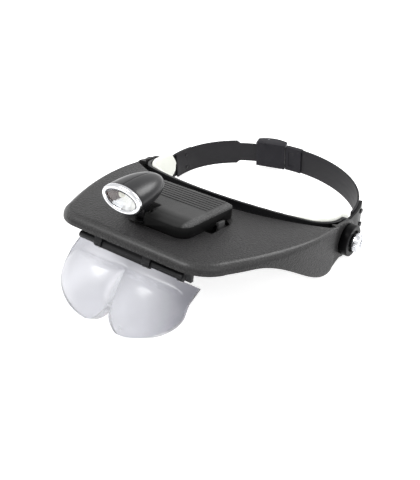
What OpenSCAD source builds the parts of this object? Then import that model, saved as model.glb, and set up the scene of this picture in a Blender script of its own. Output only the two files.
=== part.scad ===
// Binocular head magnifier: a hood on a headband, with a hinged lens plate and a lamp module.
// The origin is midway between the two side pivots, +Z is up and the lenses look towards -Y.
// It lies on a table: the hood is pitched up in front and stands on its skirt and its lenses.

/* [Headband] */
// Strap width, top edge to bottom edge
strap_w = 22; // [18:0.5:26]
// Strap thickness
strap_t = 1.6; // [1.2:0.1:2]
// Half the width of the strap loop, to the strap's middle
loop_half_w = 83.3; // [78:0.1:90]
// How far the strap loop's widest place lies behind the pivots
loop_mid_y = 23; // [16:0.5:32]
// How far the loop's back lies behind its widest place
loop_depth = 64; // [54:0.5:84]
// Height of the strap's middle above the pivots
strap_mid_z = -3.2; // [-5:0.1:0]
// Wall of the headband frame
frame_t = 2.5; // [2:0.1:3]
// Height of the frame's top edge over the forehead
forehead_top_z = 19.5; // [15:0.5:20]
// Height of the frame's bottom edge over the forehead
forehead_bottom_z = -8; // [-12:0.5:-4]
// Radius of the frame's round end at each pivot
arm_r = 14.5; // [14:0.5:17]
// How far the frame's arms reach behind the pivots
arm_reach = 42; // [34:0.5:48]
// Upward slope of the strap towards the back
band_pitch = 2.4; // [0:0.1:4]

/* [Forehead pad] */
// Height of the pad
pad_h = 28; // [22:0.5:29]
// Thickness of the pad
pad_t = 4.6; // [3:0.1:6]
// How far the pad's ends reach behind the pivots
pad_reach = 19; // [10:0.5:22]

/* [Buckle] */
// Length of the buckle housing
buckle_len = 25.5; // [24:0.5:28]
// Place of the buckle along the width, to its middle
buckle_x = -24; // [-26:0.5:-22]
// Height of the buckle housing
buckle_h = 23; // [22.5:0.5:25]
// Width of the strap's tail, which runs into the buckle
tail_w = 17; // [14:0.5:17.5]
// Thickness of the buckle lever at its tip
lever_t = 1.9; // [1.6:0.1:2.4]

/* [Hood] */
// Length from the pivots to the front edge
hood_len = 139; // [130:0.5:150]
// Half width at the front corners
front_half_w = 72.25; // [66:0.25:76]
// How far each side curves outwards
side_bulge = 7.5; // [4:0.5:9]
// Plan radius of the front corners
corner_r = 25; // [18:0.5:28]
// Height of the hood's top face above the pivots
plate_z = 14.7; // [14:0.1:16]
// Wall of the top plate
plate_t = 2.2; // [1.8:0.1:2.4]
// Wall of the skirt
skirt_t = 2.5; // [2:0.1:2.5]
// Height of the bottom of the front wall
front_wall_z = 7.5; // [6:0.1:8.5]
// Height of the pivots above the table
pivot_height = 14.8; // [14.6:0.1:15.2]
// Space between the frame's arms and the hood's ears
spacer_t = 1.25; // [1:0.05:2]
// Radius of the ears round the pivots
ear_r = 14.2; // [13.8:0.1:14.3]
// Middle of the hood's rear edge
rear_mid_y = -48; // [-52:0.5:-47.5]
// Radius of the hood's hollow rear edge
rear_edge_r = 165; // [150:1:200]
// Pitch of the hood on the table, front edge up
hood_pitch = 10.4; // [9:0.1:11]

/* [Lens plate] */
// Hinge line behind the hood's front edge
hinge_back = 5.2; // [5:0.1:6]
// Height of the hinge line above the pivots
hinge_z = 1.4; // [1:0.1:1.6]
// Forward tilt of the lens plate from square to the hood
lens_tilt = 26.5; // [22:0.5:30]
// Half width of the lens plate below its top corners
lens_half_w = 50.6; // [48:0.1:53]
// Thickness of the flat of the lens plate
flange_t = 2.5; // [2:0.1:3]
// Height of each lens dome above the flat
dome_h = 11.5; // [9:0.5:12]
// Radius of each lens dome
dome_r = 48; // [46:1:54]
// Radius of the hinge bar
bar_r = 2.4; // [2:0.1:2.6]

/* [Lamp module] */
// Top of the battery lid above the pivots
lid_top_z = 24.8; // [24.8:0.1:25.4]
// Thickness of the battery lid
lid_t = 2.5; // [2:0.1:2.6]
// Right side of the battery case
case_right = 30; // [29.5:0.1:30.5]
// Left side of the battery case
case_left = -34; // [-36:0.1:-33.5]
// Front of the battery case
case_front = -116; // [-118:0.1:-115.5]
// Back of the battery case
case_back = -60; // [-60:0.1:-57]
// Diameter of a battery cell
cell_d = 10.5; // [10.5:0.1:10.6]
// Length of a battery cell
cell_len = 44.5; // [43:0.1:45]

/* [Lamp] */
// Half width of the lamp
lamp_a = 16.2; // [15.5:0.1:17]
// Half height of the lamp
lamp_b = 10.2; // [9.8:0.1:10.6]
// Length of the lamp, face to tail
lamp_len = 36; // [34:0.5:40]
// Downward tilt of the lamp
lamp_pitch = 10; // [6:0.5:12]
// Wall of the lamp shells
lamp_wall = 1.6; // [1.2:0.1:1.8]
// Radius of the tilt pin
tilt_pin_r = 1.25; // [1:0.05:1.4]

/* [Pivots] */
// Radius of the pivot screws
screw_r = 2.5; // [2:0.1:3]
// Radius of the thumb knobs
knob_r = 7.1; // [6.5:0.1:8]
// Length of the thumb knobs
knob_len = 7.8; // [7:0.1:9]
// Radius of the black discs under the knobs
disc_r = 11.8; // [11:0.1:12.5]

/* [Hidden] */
// Clearance of a running fit, on the radius
fit = 0.06;
// Gap between faces that pass or lie beside each other
gap = 0.3;
// Gap between flat faces of one assembly
seat = 0.05;
$fn = 48;
hinge_y = hinge_back - hood_len;
arm_x = loop_half_w + strap_t / 2 + seat;
arm_outer = arm_x + frame_t;
ear_inner = arm_outer + spacer_t;
rear_half_w = ear_inner + skirt_t;
strap_low_z = strap_mid_z - strap_w / 2;
// The frame over the forehead is one wide arc between two corner arcs
front_arc_r = 165;
front_arc_y = rear_mid_y + 4.2;
frame_corner_r = 28;
front_turn = asin((arm_outer - frame_corner_r) / (front_arc_r - frame_corner_r));
corner_mid_y = front_arc_y + front_arc_r
    - sqrt(pow(front_arc_r - frame_corner_r, 2) - pow(arm_outer - frame_corner_r, 2));
// Plan curve of the hood's sides
side_end_y = -4.7;
side_run = hood_len - 27 + side_end_y;
side_lead = rear_half_w - front_half_w + 4 * side_bulge;
side_slope = side_lead / side_run;
corner_y = corner_r - hood_len;
corner_x = front_half_w + side_slope * (corner_y + hood_len - 27)
    - corner_r * sqrt(1 + side_slope * side_slope);
corner_turn = atan(side_slope);
rear_edge_mid = rear_mid_y + rear_edge_r;
skirt_low_y = -24;
skirt_low_z = (skirt_low_y * sin(hood_pitch) - pivot_height) / cos(hood_pitch);
skirt_front_y = -104;
skirt_front_z = 7.5;
// The lens plate's bottom edge reaches the table
table_tilt = hood_pitch + lens_tilt;
hinge_height = hinge_z * cos(hood_pitch) - hinge_y * sin(hood_pitch) + pivot_height;
lens_drop = (hinge_height - flange_t * sin(table_tilt)) / cos(table_tilt);
// Places of the two clips on the hinge bar, and the bar's ends
clip_w = 7;
clip_x = [-24.5, 16.5];
bar_left = -42;
bar_right = corner_x;
// Battery compartment
case_wall = 3;
lid_z = lid_top_z - lid_t;
cell_pitch = cell_d + 0.5;
cell_y = case_back - case_wall - gap - cell_d / 2;
cell_z = lid_z - gap - cell_d / 2;
spring_len = 6.1;
contact_t = 0.4;
tub_floor = 1;
tub_wall = 1;
tub_z = cell_z - cell_d / 2 - gap - tub_floor;
room_left = case_left + case_wall;
room_right = case_right - case_wall;
room_back = case_back - case_wall;
cell_x = room_left + contact_t + spring_len + 2 * seat;
cells_right = cell_x + cell_len + contact_t + 2 * seat;
room_front = cell_y - 2 * cell_pitch - cell_d / 2 - gap;
step_x = -3;
step_y = room_front - case_wall - gap;
case_seat_z = plate_z + seat;
board_floor = 1.5;
ledge_t = 0.8;
// Latch of the lamp module
latch_y = -77;
latch_w = 7;
slot_right = case_right + 5.6;
// Floor and wall of the pocket under the latch's slot
pocket_z = 7.6;
pocket_wall = 1.2;
slot_back = -67;
slot_front = -93.5;
// Lamp and its turret
lamp_x = -14.2;
lamp_y = -125;
lamp_z = 32.8;
turret_x = -9;
turret_y = -111;
turret_r = 2;
turret_foot_z = case_seat_z + ledge_t + seat;
tilt_z = 18.9;
tongue_w = 6;
ear_w = 1.5;
reflector_depth = 10;
// Pivot stack, outwards from the frame
disc_x = rear_half_w + seat;
disc_t = 6.5;
disc_seat_t = 4.5;
knob_x = disc_x + disc_seat_t + seat;
screw_head_t = 1.4;

// Frames of reference: hood, strap, lens plate and lamp
module in_hood() { rotate([-hood_pitch, 0, 0]) children(); }
module in_band() { rotate([band_pitch, 0, 0]) children(); }
module in_lens() {
    in_hood() translate([0, hinge_y, hinge_z]) rotate([-lens_tilt, 0, 0]) children();
}
module in_lamp() {
    in_hood() translate([lamp_x, lamp_y, lamp_z]) rotate([lamp_pitch, 0, 0]) children();
}

// A flat shape drawn in Y and Z, from x0 to x1
module along_x(x0, x1) {
    translate([x0, 0, 0]) rotate([90, 0, 90]) linear_extrude(x1 - x0) children();
}

// A flat shape drawn in X and Z, from y0 to y1
module along_y(y0, y1) {
    translate([0, y1, 0]) rotate([90, 0, 0]) linear_extrude(y1 - y0) children();
}

// A box between two corners
module block(low, high) { translate(low) cube(high - low); }

module rod_x(x0, x1, r) { translate([x0, 0, 0]) rotate([0, 90, 0]) cylinder(r = r, h = x1 - x0); }

module both_sides() {
    children();
    mirror([1, 0, 0]) children();
}

function arc(cx, cy, r, a0, a1, n) =
    [for (i = [0:n]) let (a = a0 + (a1 - a0) * i / n) [cx + r * cos(a), cy + r * sin(a)]];
function mirrored(pts) = [for (i = [len(pts) - 1:-1:0]) [-pts[i][0], pts[i][1]]];
function backwards(pts) = [for (i = [len(pts) - 1:-1:0]) pts[i]];
function ellipse(a, b, n) = [for (i = [0:n - 1]) [a * cos(360 * i / n), b * sin(360 * i / n)]];

// Frame curve, d inside its outer face, where the face looks the way of turn, 0 at the front
function frame_point(turn, d) = abs(turn) <= front_turn
    ? [(front_arc_r - d) * sin(turn), front_arc_y + front_arc_r - (front_arc_r - d) * cos(turn)]
    : [sign(turn) * (arm_outer - frame_corner_r) + (frame_corner_r - d) * sin(turn),
        corner_mid_y - (frame_corner_r - d) * cos(turn)];
frame_turns = concat([for (i = [8:-1:1]) -front_turn - (90 - front_turn) * i / 8],
    [for (i = [-6:6]) front_turn * i / 6], [for (i = [1:8]) front_turn + (90 - front_turn) * i / 8]);
function frame_curve(d) = [for (t = frame_turns) frame_point(t, d)];

// Half ellipse of the strap, its middle line moved outwards by d
function strap_point(turn, d) =
    [(loop_half_w + d) * cos(turn), loop_mid_y + (loop_depth + d) * sin(turn)];
function strap_curve(d, a0, a1, n) = [for (i = [0:n]) strap_point(a0 + (a1 - a0) * i / n, d)];
function turn_at_x(x) = acos(x / loop_half_w);
function turn_at_y(y) = asin((y - loop_mid_y) / loop_depth);
module strap_run(a0, a1, n, inner, outer, low, high) {
    translate([0, 0, low]) linear_extrude(high - low)
        polygon(concat(strap_curve(outer, a0, a1, n), backwards(strap_curve(inner, a0, a1, n))));
}

// Headband frame: the band over the forehead and the two arms, in one piece
module arm() {
    reach_turn = turn_at_y(arm_reach);
    inner = strap_t / 2 + seat;
    in_band() {
        along_x(arm_x, arm_outer) {
            intersection() {
                circle(r = arm_r);
                translate([-arm_r, strap_low_z + 1]) square([2 * arm_r, 2 * arm_r]);
            }
            translate([0, strap_low_z + 1]) square([loop_mid_y, strap_w - 2]);
        }
        strap_run(0, reach_turn, 6, inner, inner + frame_t, strap_low_z + 1, strap_low_z + strap_w - 1);
    }
}
module arm_holes() {
    rod_x(arm_x - 1, arm_outer + 1, screw_r + seat);
    rod_x(arm_x - 1, arm_x + screw_head_t + seat, screw_r + 2 + seat);
    in_band() for (z = rivet_z) translate([0, rivet_y, z]) rod_x(arm_x - 6, arm_outer + 2, rivet_r + seat);
}
rivet_y = loop_mid_y + 12;
rivet_r = 1.6;
rivet_z = [strap_mid_z - 6, strap_mid_z + 6];
module forehead_band() {
    reach = arm_outer + 1;
    end_fall = 5.5;
    intersection() {
        translate([0, 0, forehead_bottom_z]) linear_extrude(forehead_top_z - forehead_bottom_z)
            polygon(concat(frame_curve(0), backwards(frame_curve(frame_t))));
        along_y(front_arc_y - 1, corner_mid_y + 1) polygon(concat(
            [[-reach, forehead_bottom_z], [reach, forehead_bottom_z]],
            [for (i = [10:-1:-10]) [reach * i / 10, forehead_top_z - end_fall * pow(i / 10, 2)]]));
    }
}
module headband_frame() {
    color([0.13, 0.13, 0.14]) difference() {
        union() {
            in_hood() forehead_band();
            both_sides() arm();
        }
        both_sides() arm_holes();
    }
}

// Foam pad inside the frame, crowned towards the head, with round ends
pad_gap = 2 * seat;
pad_mid_z = 3.5;
pad_sides = 12;
function pad_size(i, n) = let (s = min(i, n - i)) s > 3 ? 1 : sqrt(1 - pow(1 - (s + 0.25) / 3.25, 2));
function pad_ring(p, nrm, size) = [for (j = [0:pad_sides - 1])
    let (a = 360 * j / pad_sides, depth = pad_t * (0.5 - 0.5 * sign(cos(a)) * pow(abs(cos(a)), 0.7)),
        z = pad_mid_z + pad_h / 2 * size * sign(sin(a)) * pow(abs(sin(a)), 0.75))
    [p[0] - nrm[0] * depth, p[1] - nrm[1] * depth, z]];
pad_line = let (d = frame_t + pad_gap, run = pad_reach - corner_mid_y) concat(
    [for (i = [5:-1:1]) [[-arm_outer + d, corner_mid_y + run * i / 5], -90]],
    [for (t = frame_turns) [frame_point(t, d), t]],
    [for (i = [1:5]) [[arm_outer - d, corner_mid_y + run * i / 5], 90]]);
module forehead_pad() {
    n = len(pad_line) - 1;
    rings = [for (i = [0:n]) let (t = pad_line[i][1])
        pad_ring(pad_line[i][0], [sin(t), -cos(t)], pad_size(i, n))];
    points = [for (ring = rings) each ring];
    sides = [for (i = [0:n - 1], j = [0:pad_sides - 1])
        let (k = (j + 1) % pad_sides, a = i * pad_sides, b = a + pad_sides)
        each [[a + j, b + j, b + k], [a + j, b + k, a + k]]];
    ends = [for (j = [1:pad_sides - 2]) each [[0, j, j + 1],
        [n * pad_sides, n * pad_sides + j + 1, n * pad_sides + j]]];
    color([0.93, 0.92, 0.86]) in_hood() polyhedron(points, concat(sides, ends));
}

// Straps: each is riveted to an arm, and the left one narrows to the tail in the buckle
strap_turns = 40;
tail_start_x = -53;
tail_full_x = -50.5;
tail_end_x = buckle_x + buckle_len / 2 - 3;
module strap_holes() {
    for (z = rivet_z) translate([0, rivet_y, z])
        rod_x(loop_half_w - 8, loop_half_w + 4, rivet_r + seat);
}
module strap_left() {
    cut = (strap_w - tail_w) / 2;
    color([0.15, 0.15, 0.16]) in_band() difference() {
        strap_run(180, turn_at_x(tail_end_x), strap_turns, -strap_t / 2, strap_t / 2,
            strap_low_z, strap_low_z + strap_w);
        for (side = [-1, 1]) along_y(loop_mid_y + 20, loop_mid_y + loop_depth + 5)
            translate([0, strap_mid_z]) polygon([[tail_start_x, side * (strap_w / 2 + 1)],
                [tail_start_x, side * strap_w / 2], [tail_full_x, side * (strap_w / 2 - cut)],
                [0, side * (strap_w / 2 - cut)], [0, side * (strap_w / 2 + 1)]]);
        mirror([1, 0, 0]) strap_holes();
    }
}
clip_left_x = buckle_x + buckle_len / 2 + 3 * gap;
clip_right_x = clip_left_x + 15.5;
module strap_right() {
    color([0.15, 0.15, 0.16]) in_band() difference() {
        strap_run(0, turn_at_x(clip_left_x + 4), strap_turns, -strap_t / 2, strap_t / 2,
            strap_low_z, strap_low_z + strap_w);
        strap_holes();
    }
}
module strap_rivets() {
    reach = turn_at_y(rivet_y);
    out_x = strap_point(reach, strap_t / 2 + seat + frame_t)[0];
    in_x = strap_point(reach, -strap_t / 2)[0];
    color([0.2, 0.2, 0.21]) in_band() both_sides() for (z = rivet_z) translate([0, rivet_y, z]) {
        rod_x(in_x - 0.3, out_x + 1.2, rivet_r);
        rod_x(out_x + 0.6, out_x + 1.3, rivet_r + 0.6);
    }
}

// Buckle: a straight housing on the strap's curve, with a lever on its outer side
slot_room = strap_t + 2.2;
buckle_y = (strap_point(turn_at_x(buckle_x - buckle_len / 2), 0)[1]
    + strap_point(turn_at_x(buckle_x + buckle_len / 2), 0)[1]) / 2 + 0.6;
buckle_turn = atan((strap_point(turn_at_x(buckle_x + buckle_len / 2), 0)[1]
    - strap_point(turn_at_x(buckle_x - buckle_len / 2), 0)[1]) / buckle_len);
buckle_low_z = strap_low_z;
housing_out = slot_room / 2 + 1.6;
lever_hinge_x = -4.5;
lever_hinge_y = housing_out + 2.2;
module in_buckle() {
    in_band() translate([buckle_x, buckle_y, buckle_low_z]) rotate([0, 0, buckle_turn]) children();
}
module buckle_housing() {
    half = buckle_len / 2 / cos(buckle_turn);
    color([0.14, 0.14, 0.15]) in_buckle() difference() {
        union() {
            block([-half, -slot_room / 2 - 1.7, 0], [half, housing_out, buckle_h]);
            for (z = [0, buckle_h - 2]) translate([0, 0, z]) linear_extrude(2) polygon(concat(
                [[half, housing_out - 0.5], [-half, housing_out - 0.5]],
                [for (i = [0:8]) let (u = -1 + i / 4) [u * half, housing_out + 4.4 - 3.4 * u * u]]));
        }
        block([-half - 1, -slot_room / 2, (buckle_h - tail_w) / 2 - 0.6],
            [half + 1, slot_room / 2, (buckle_h + tail_w) / 2 + 0.6]);
        block([lever_hinge_x - 3, -1, 3], [lever_hinge_x + 3, housing_out + 1, buckle_h - 3]);
        translate([lever_hinge_x, lever_hinge_y, -1]) cylinder(r = 1.2 + seat, h = buckle_h + 2);
        for (z = [0.8, buckle_h - 0.8]) translate([lever_hinge_x, -slot_room / 2 - 1.7, z])
            rotate([90, 0, 0]) cylinder(r = 0.9, h = 1, center = true);
    }
}
module buckle_pin() {
    color([0.6, 0.6, 0.62]) in_buckle() translate([lever_hinge_x, lever_hinge_y, 0.3])
        cylinder(r = 1.2, h = buckle_h - 0.6);
}
module buckle_lever() {
    low = 2 + gap;
    high = buckle_h - 2 - gap;
    tip = buckle_len / 2 - 2;
    color([0.16, 0.16, 0.17]) in_buckle() difference() {
        union() {
            translate([lever_hinge_x, lever_hinge_y, low]) cylinder(r = 1.9, h = high - low);
            translate([0, 0, low]) linear_extrude(high - low) polygon(concat(
                [[lever_hinge_x, lever_hinge_y - 1.2], [tip, housing_out + gap]],
                [for (i = [0:6]) let (x = tip + (lever_hinge_x - tip) * i / 6, u = x / tip)
                    [x, housing_out + gap + lever_t + 2.4 * (1 - u * u)]]));
        }
        translate([lever_hinge_x, lever_hinge_y, 0]) cylinder(r = 1.2 + fit, h = buckle_h);
    }
}

// Clip that holds the right strap's end to the buckle, with a plain recessed face
module strap_clip() {
    inner = -strap_t / 2 - 1.4;
    outer = strap_t / 2 + 1.4;
    low = strap_low_z;
    high = strap_low_z + strap_w;
    color([0.14, 0.14, 0.15]) in_band() difference() {
        strap_run(turn_at_x(clip_left_x), turn_at_x(clip_right_x), 6, inner, outer, low, high);
        strap_run(turn_at_x(clip_left_x + 3.9), turn_at_x(clip_right_x + 1), 6, -strap_t / 2 - seat,
            strap_t / 2 + seat, low - 1, high + 1);
        translate([clip_left_x + 5.5, strap_point(90, inner)[1], strap_mid_z])
            cube([5, 0.8, 13], center = true);
    }
}

// Side pivots: screw, spacer, black disc and thumb knob on each side
module pivot_screw() {
    rod_x(arm_x, arm_x + screw_head_t, screw_r + 2);
    rod_x(arm_x + seat, knob_x + knob_len - 1, screw_r);
}
module pivot_screw_right() { color([0.75, 0.75, 0.77]) pivot_screw(); }
module pivot_screw_left() { color([0.75, 0.75, 0.77]) mirror([1, 0, 0]) pivot_screw(); }
module spacer_washers() {
    color([0.1, 0.1, 0.1]) both_sides() difference() {
        rod_x(arm_outer + seat, ear_inner - seat, 9);
        rod_x(arm_outer - 1, ear_inner + 1, screw_r + seat);
    }
}
module pressure_disc() {
    difference() {
        rod_x(disc_x, disc_x + disc_t, disc_r);
        rod_x(disc_x + disc_seat_t, disc_x + disc_t + 1, knob_r + 1);
        rod_x(disc_x - 1, disc_x + disc_t + 1, screw_r + seat);
    }
}
module pressure_disc_right() { color([0.08, 0.08, 0.09]) pressure_disc(); }
module pressure_disc_left() { color([0.08, 0.08, 0.09]) mirror([1, 0, 0]) pressure_disc(); }
knob_teeth = 30;
module thumb_knob() {
    difference() {
        union() {
            rod_x(knob_x, knob_x + 2, knob_r - 1.8);
            rod_x(knob_x + 1.9, knob_x + knob_len, knob_r - 0.5);
            for (i = [0:knob_teeth - 1]) rotate([360 * i / knob_teeth, 0, 0])
                block([knob_x + 2.6, -0.45, knob_r - 1.5], [knob_x + knob_len - 1, 0.45, knob_r]);
        }
        rod_x(knob_x - 1, knob_x + knob_len + 1, screw_r + fit);
        block([knob_x + knob_len - 1, -0.8, -knob_r - 1], [knob_x + knob_len + 1, 0.8, knob_r + 1]);
    }
}
module thumb_knob_right() { color([0.85, 0.85, 0.87]) thumb_knob(); }
module thumb_knob_left() { color([0.85, 0.85, 0.87]) mirror([1, 0, 0]) thumb_knob(); }

// Hood: half of its plan outline, from the front's middle to the back
side_start = (corner_r * (1 - sin(corner_turn)) - 27) / side_run;
function side_point(s, d) = [front_half_w - d + side_lead * s - 4 * side_bulge * s * s,
    27 - hood_len + side_run * s];
step_s = (-21 + hood_len - 27) / side_run;
function half_front(d) = concat(arc(corner_x, corner_y, corner_r - d, -90, -corner_turn, 10),
    [for (i = [1:13]) side_point(side_start + (step_s - side_start) * i / 13, d)],
    [for (p = [[0.75, -18.5], [0.2, -15.8], [0, -13.8]]) [rear_half_w + p[0] - d, p[1]]]);
function rear_edge(x) = rear_edge_mid - sqrt(rear_edge_r * rear_edge_r - x * x);
plate_side = rear_half_w - 0.5;
plate_end_s = (rear_edge(plate_side) + hood_len - 27) / side_run;
function half_plate() = concat(arc(corner_x, corner_y, corner_r, -90, -corner_turn, 10),
    [for (i = [1:12]) side_point(side_start + (plate_end_s - side_start) * i / 12, 0)]);
rear_arc = [for (i = [10:-1:-10]) let (x = plate_side * i / 10) [x, rear_edge(x)]];
function smooth(u) = let (v = min(max(u, 0), 1)) v * v * (3 - 2 * v);
function skirt_z(y) = skirt_front_z + (skirt_low_z - skirt_front_z)
    * smooth((y - skirt_front_y) / (skirt_low_y - skirt_front_y));
module hood_shell() {
    wall = concat(half_front(0), [[rear_half_w, ear_r + 1]]);
    inner = concat(half_front(skirt_t), [[ear_inner, ear_r + 1]]);
    color([0.16, 0.16, 0.17]) in_hood() difference() {
        union() {
            translate([0, 0, plate_z - plate_t]) linear_extrude(plate_t) polygon(concat(half_plate(),
                rear_arc, mirrored(half_plate())));
            intersection() {
                translate([0, 0, skirt_low_z - 1]) linear_extrude(plate_z - skirt_low_z + 2)
                    polygon(concat(wall, backwards(inner), backwards(mirrored(inner)), mirrored(wall)));
                along_x(-rear_half_w - 5, rear_half_w + 5) skirt_side();
            }
            block([room_right + tub_wall + gap, slot_front - pocket_wall, pocket_z - pocket_wall],
                [slot_right + 3, slot_back + pocket_wall, plate_z - plate_t + 0.1]);
        }
        block([room_right, slot_front, pocket_z],
            [slot_right + 3 - pocket_wall, slot_back, plate_z - plate_t]);
        both_sides() rod_x(ear_inner - 1, rear_half_w + 1, screw_r + fit);
        block([room_left - gap - tub_wall, room_front - gap - tub_wall, 0],
            [room_right + gap + tub_wall, room_back + gap + tub_wall, plate_z + 1]);
        translate([0, 0, plate_z - plate_t - 1]) linear_extrude(plate_t + 2)
            polygon([[room_right, slot_front], [slot_right, slot_front],
                [slot_right, slot_back - 5], [slot_right - 6, slot_back], [room_right, slot_back]]);
    }
}
module skirt_side() {
    polygon(concat([[-hood_len - 1, plate_z], [-hood_len - 1, front_wall_z], [-hood_len + 14, front_wall_z],
        [skirt_front_y, skirt_front_z]],
        [for (i = [1:16]) let (y = skirt_front_y + (skirt_low_y - skirt_front_y) * i / 16) [y, skirt_z(y)]],
        [[skirt_low_y + 6, skirt_low_z + 1.3], [-4, -ear_r + 0.4], [0, -ear_r + 1], [0, ear_r - 1],
            [-14, plate_z]]));
    circle(r = ear_r);
}

// Clips under the front edge, which hold the lens plate's hinge bar
clip_wall = 1.2;
clip_top = plate_z - plate_t - hinge_z - seat;
clip_front = hinge_back - skirt_t - 2 * seat;
module lens_clips() {
    color([0.12, 0.12, 0.13]) in_hood() translate([0, hinge_y, hinge_z]) {
        for (x = clip_x) difference() {
            union() {
                rod_x(x - clip_w / 2 + gap, x + clip_w / 2 - gap, bar_r + clip_wall);
                block([x - clip_w / 2 + gap, -clip_front, 0], [x + clip_w / 2 - gap, bar_r + 1, clip_top]);
            }
            rod_x(x - clip_w, x + clip_w, bar_r + fit);
        }
        block([bar_right + 2, -1, -1.2], [bar_right + 7, 1.8, clip_top]);
    }
}

// Black hinge bar of the lens plate, with a panel between the clips
cap_x = bar_right - 3;
cap_len = 4;
cap_r = bar_r + 0.5;
module lens_holder() {
    color([0.1, 0.1, 0.11]) in_lens() {
        rod_x(bar_left, bar_right, bar_r);
        block([clip_x[0] + clip_w / 2, -bar_r + 0.3, -bar_r - 0.8], [clip_x[1] - clip_w / 2, -seat, bar_r]);
        rod_x(cap_x, cap_x + cap_len, cap_r);
    }
}

// Clear lens plate: a flat with two domes
lens_top = bar_r + seat;
// Lowest point of each lobe, the places where its outer and inner curves start, and how flat they are
lobe_x = 13;
lobe_outer_w = 22;
lobe_inner_w = 36.5;
crease_w = 2.2;
outer_power = 1.15;
inner_power = 1.3;
// Corners of the flat beside the hinge bar: the left one ends with the bar, the right one reaches further
left_corner = [[1.6 - lens_half_w, -lens_top - 9], [5 - lens_half_w, -lens_top]];
right_corner = [[lens_half_w + 3.8, -lens_top], [lens_half_w, -lens_top - 12]];
// Quarter of a flattened oval, from its side to its lowest point
function lobe(a, b, power, n) = [for (i = [0:n]) let (turn = 90 * i / n)
    [a * pow(cos(turn), power), -b * pow(sin(turn), power)]];
function placed(pts, x, y) = [for (p = pts) [x + p[0], y + p[1]]];
module lens_outline() {
    outer = lobe(lens_half_w - lobe_x, lens_drop - lobe_outer_w, outer_power, 14);
    inner = mirrored(lobe(lobe_x - crease_w, lens_drop - lobe_inner_w, inner_power, 6));
    half = concat(placed(outer, lobe_x, -lobe_outer_w),
        placed([for (i = [1:len(inner) - 1]) inner[i]], lobe_x, -lobe_inner_w));
    polygon(concat(right_corner, half, mirrored(half), left_corner));
}
// Middle of the plate, a little to the right of the hood's middle
lens_x = 3;
dome_x = 20;
dome_w = 29;
module lens_plate() {
    sink = dome_r - dome_h;
    notch_w = bar_r + clip_wall + gap;
    color([0.85, 0.88, 0.92, 0.35]) in_lens() difference() {
        translate([lens_x, 0, 0]) intersection() {
            along_y(-20, flange_t) lens_outline();
            union() {
                block([-70, 0, -70], [70, flange_t, 0]);
                for (x = [-dome_x, dome_x]) translate([x, sink, -dome_w]) sphere(r = dome_r, $fn = 96);
            }
            along_x(-70, 70) polygon([[flange_t, -lens_top], [0, -lens_top], [0, -7], [-0.6, -8.6],
                [-4, -10.4], [-8, -12.2], [-14, -16], [-14, -60], [flange_t, -60]]);
        }
        translate([lens_x, 0, -60]) linear_extrude(60 - 7)
            polygon([[-3.8, -14], [-0.5, -0.4], [0.5, -0.4], [3.8, -14]]);
        for (x = clip_x) block([x - clip_w / 2, -1, -notch_w], [x + clip_w / 2, flange_t + 1, 0]);
        block([cap_x - gap, -1, -cap_r - gap], [cap_x + cap_len + gap, flange_t + 1, 0]);
    }
}

// Battery case: a tray that stands on the hood, with a tub in the hood's opening
function case_outline() = concat([[step_x, case_front]],
    arc(case_right - 9, case_front + 9, 9, -90, 0, 6), arc(case_right - 3, case_back - 3, 3, 0, 90, 3),
    arc(case_left + 3, case_back - 3, 3, 90, 180, 3), [[case_left, step_y], [step_x, step_y]]);
module battery_case() {
    color([0.13, 0.13, 0.14]) in_hood() difference() {
        union() {
            translate([0, 0, case_seat_z]) linear_extrude(lid_z - seat - case_seat_z)
                polygon(case_outline());
            block([turret_x - 6, turret_y - 6, case_seat_z],
                [step_x + 1, step_y + 1, case_seat_z + ledge_t]);
            block([room_left - tub_wall, room_front - tub_wall, tub_z],
                [room_right + tub_wall, room_back + tub_wall, case_seat_z + 1]);
        }
        block([room_left, room_front, tub_z + tub_floor], [cells_right, room_back, lid_z + 1]);
        block([step_x + 2, case_front + 2, case_seat_z + board_floor],
            [case_right - 5, room_front - 1.6, lid_z + 1]);
        block([room_right - 1, latch_y - latch_w / 2 - gap, tub_z - 1],
            [case_right + 1, latch_y + latch_w / 2 + gap, plate_z + 3]);
        block([case_left - 1, switch_y - 6, switch_z - switch_h / 2 - gap],
            [room_left + 1, switch_y + 6, switch_z + switch_h / 2 + gap]);
        translate([turret_x, turret_y, plate_z - 1]) cylinder(r = turret_r + fit, h = 4);
    }
}
module battery_lid() {
    color([0.14, 0.14, 0.15]) in_hood() {
        translate([0, 0, lid_z]) linear_extrude(lid_t) polygon(case_outline());
        for (i = [0:4]) block([case_left + 4, case_back - 4.5 - 4.6 * i, lid_top_z - 0.1],
            [case_right - 3, case_back - 3.5 - 4.6 * i, lid_top_z + 0.4]);
    }
}
module cell_places() { for (i = [0:2]) translate([0, cell_y - cell_pitch * i, cell_z]) children(); }
module battery_cells() {
    color([0.75, 0.6, 0.25]) in_hood() cell_places() {
        rod_x(cell_x, cell_x + cell_len - 1, cell_d / 2);
        rod_x(cell_x + cell_len - 1.1, cell_x + cell_len, 1.9);
    }
}
module battery_springs() {
    left = room_left + contact_t + seat;
    color([0.7, 0.7, 0.7]) in_hood() cell_places() translate([left, 0, 0]) rotate([0, 90, 0])
        cylinder(r1 = 4, r2 = 2.6, h = spring_len);
}
module battery_contacts() {
    color([0.8, 0.75, 0.6]) in_hood() cell_places() {
        block([room_left + 0.02, -4.4, -4.4], [room_left + contact_t, 4.4, 4.4]);
        block([cells_right - seat - contact_t, -4.4, -4.4], [cells_right - 0.02, 4.4, 4.4]);
    }
}
module circuit_board() {
    floor_z = case_seat_z + board_floor + seat;
    color([0.1, 0.35, 0.18]) in_hood()
        block([step_x + 3, case_front + 3, floor_z], [case_right - 6, room_front - 2.6, floor_z + 1.6]);
}

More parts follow.
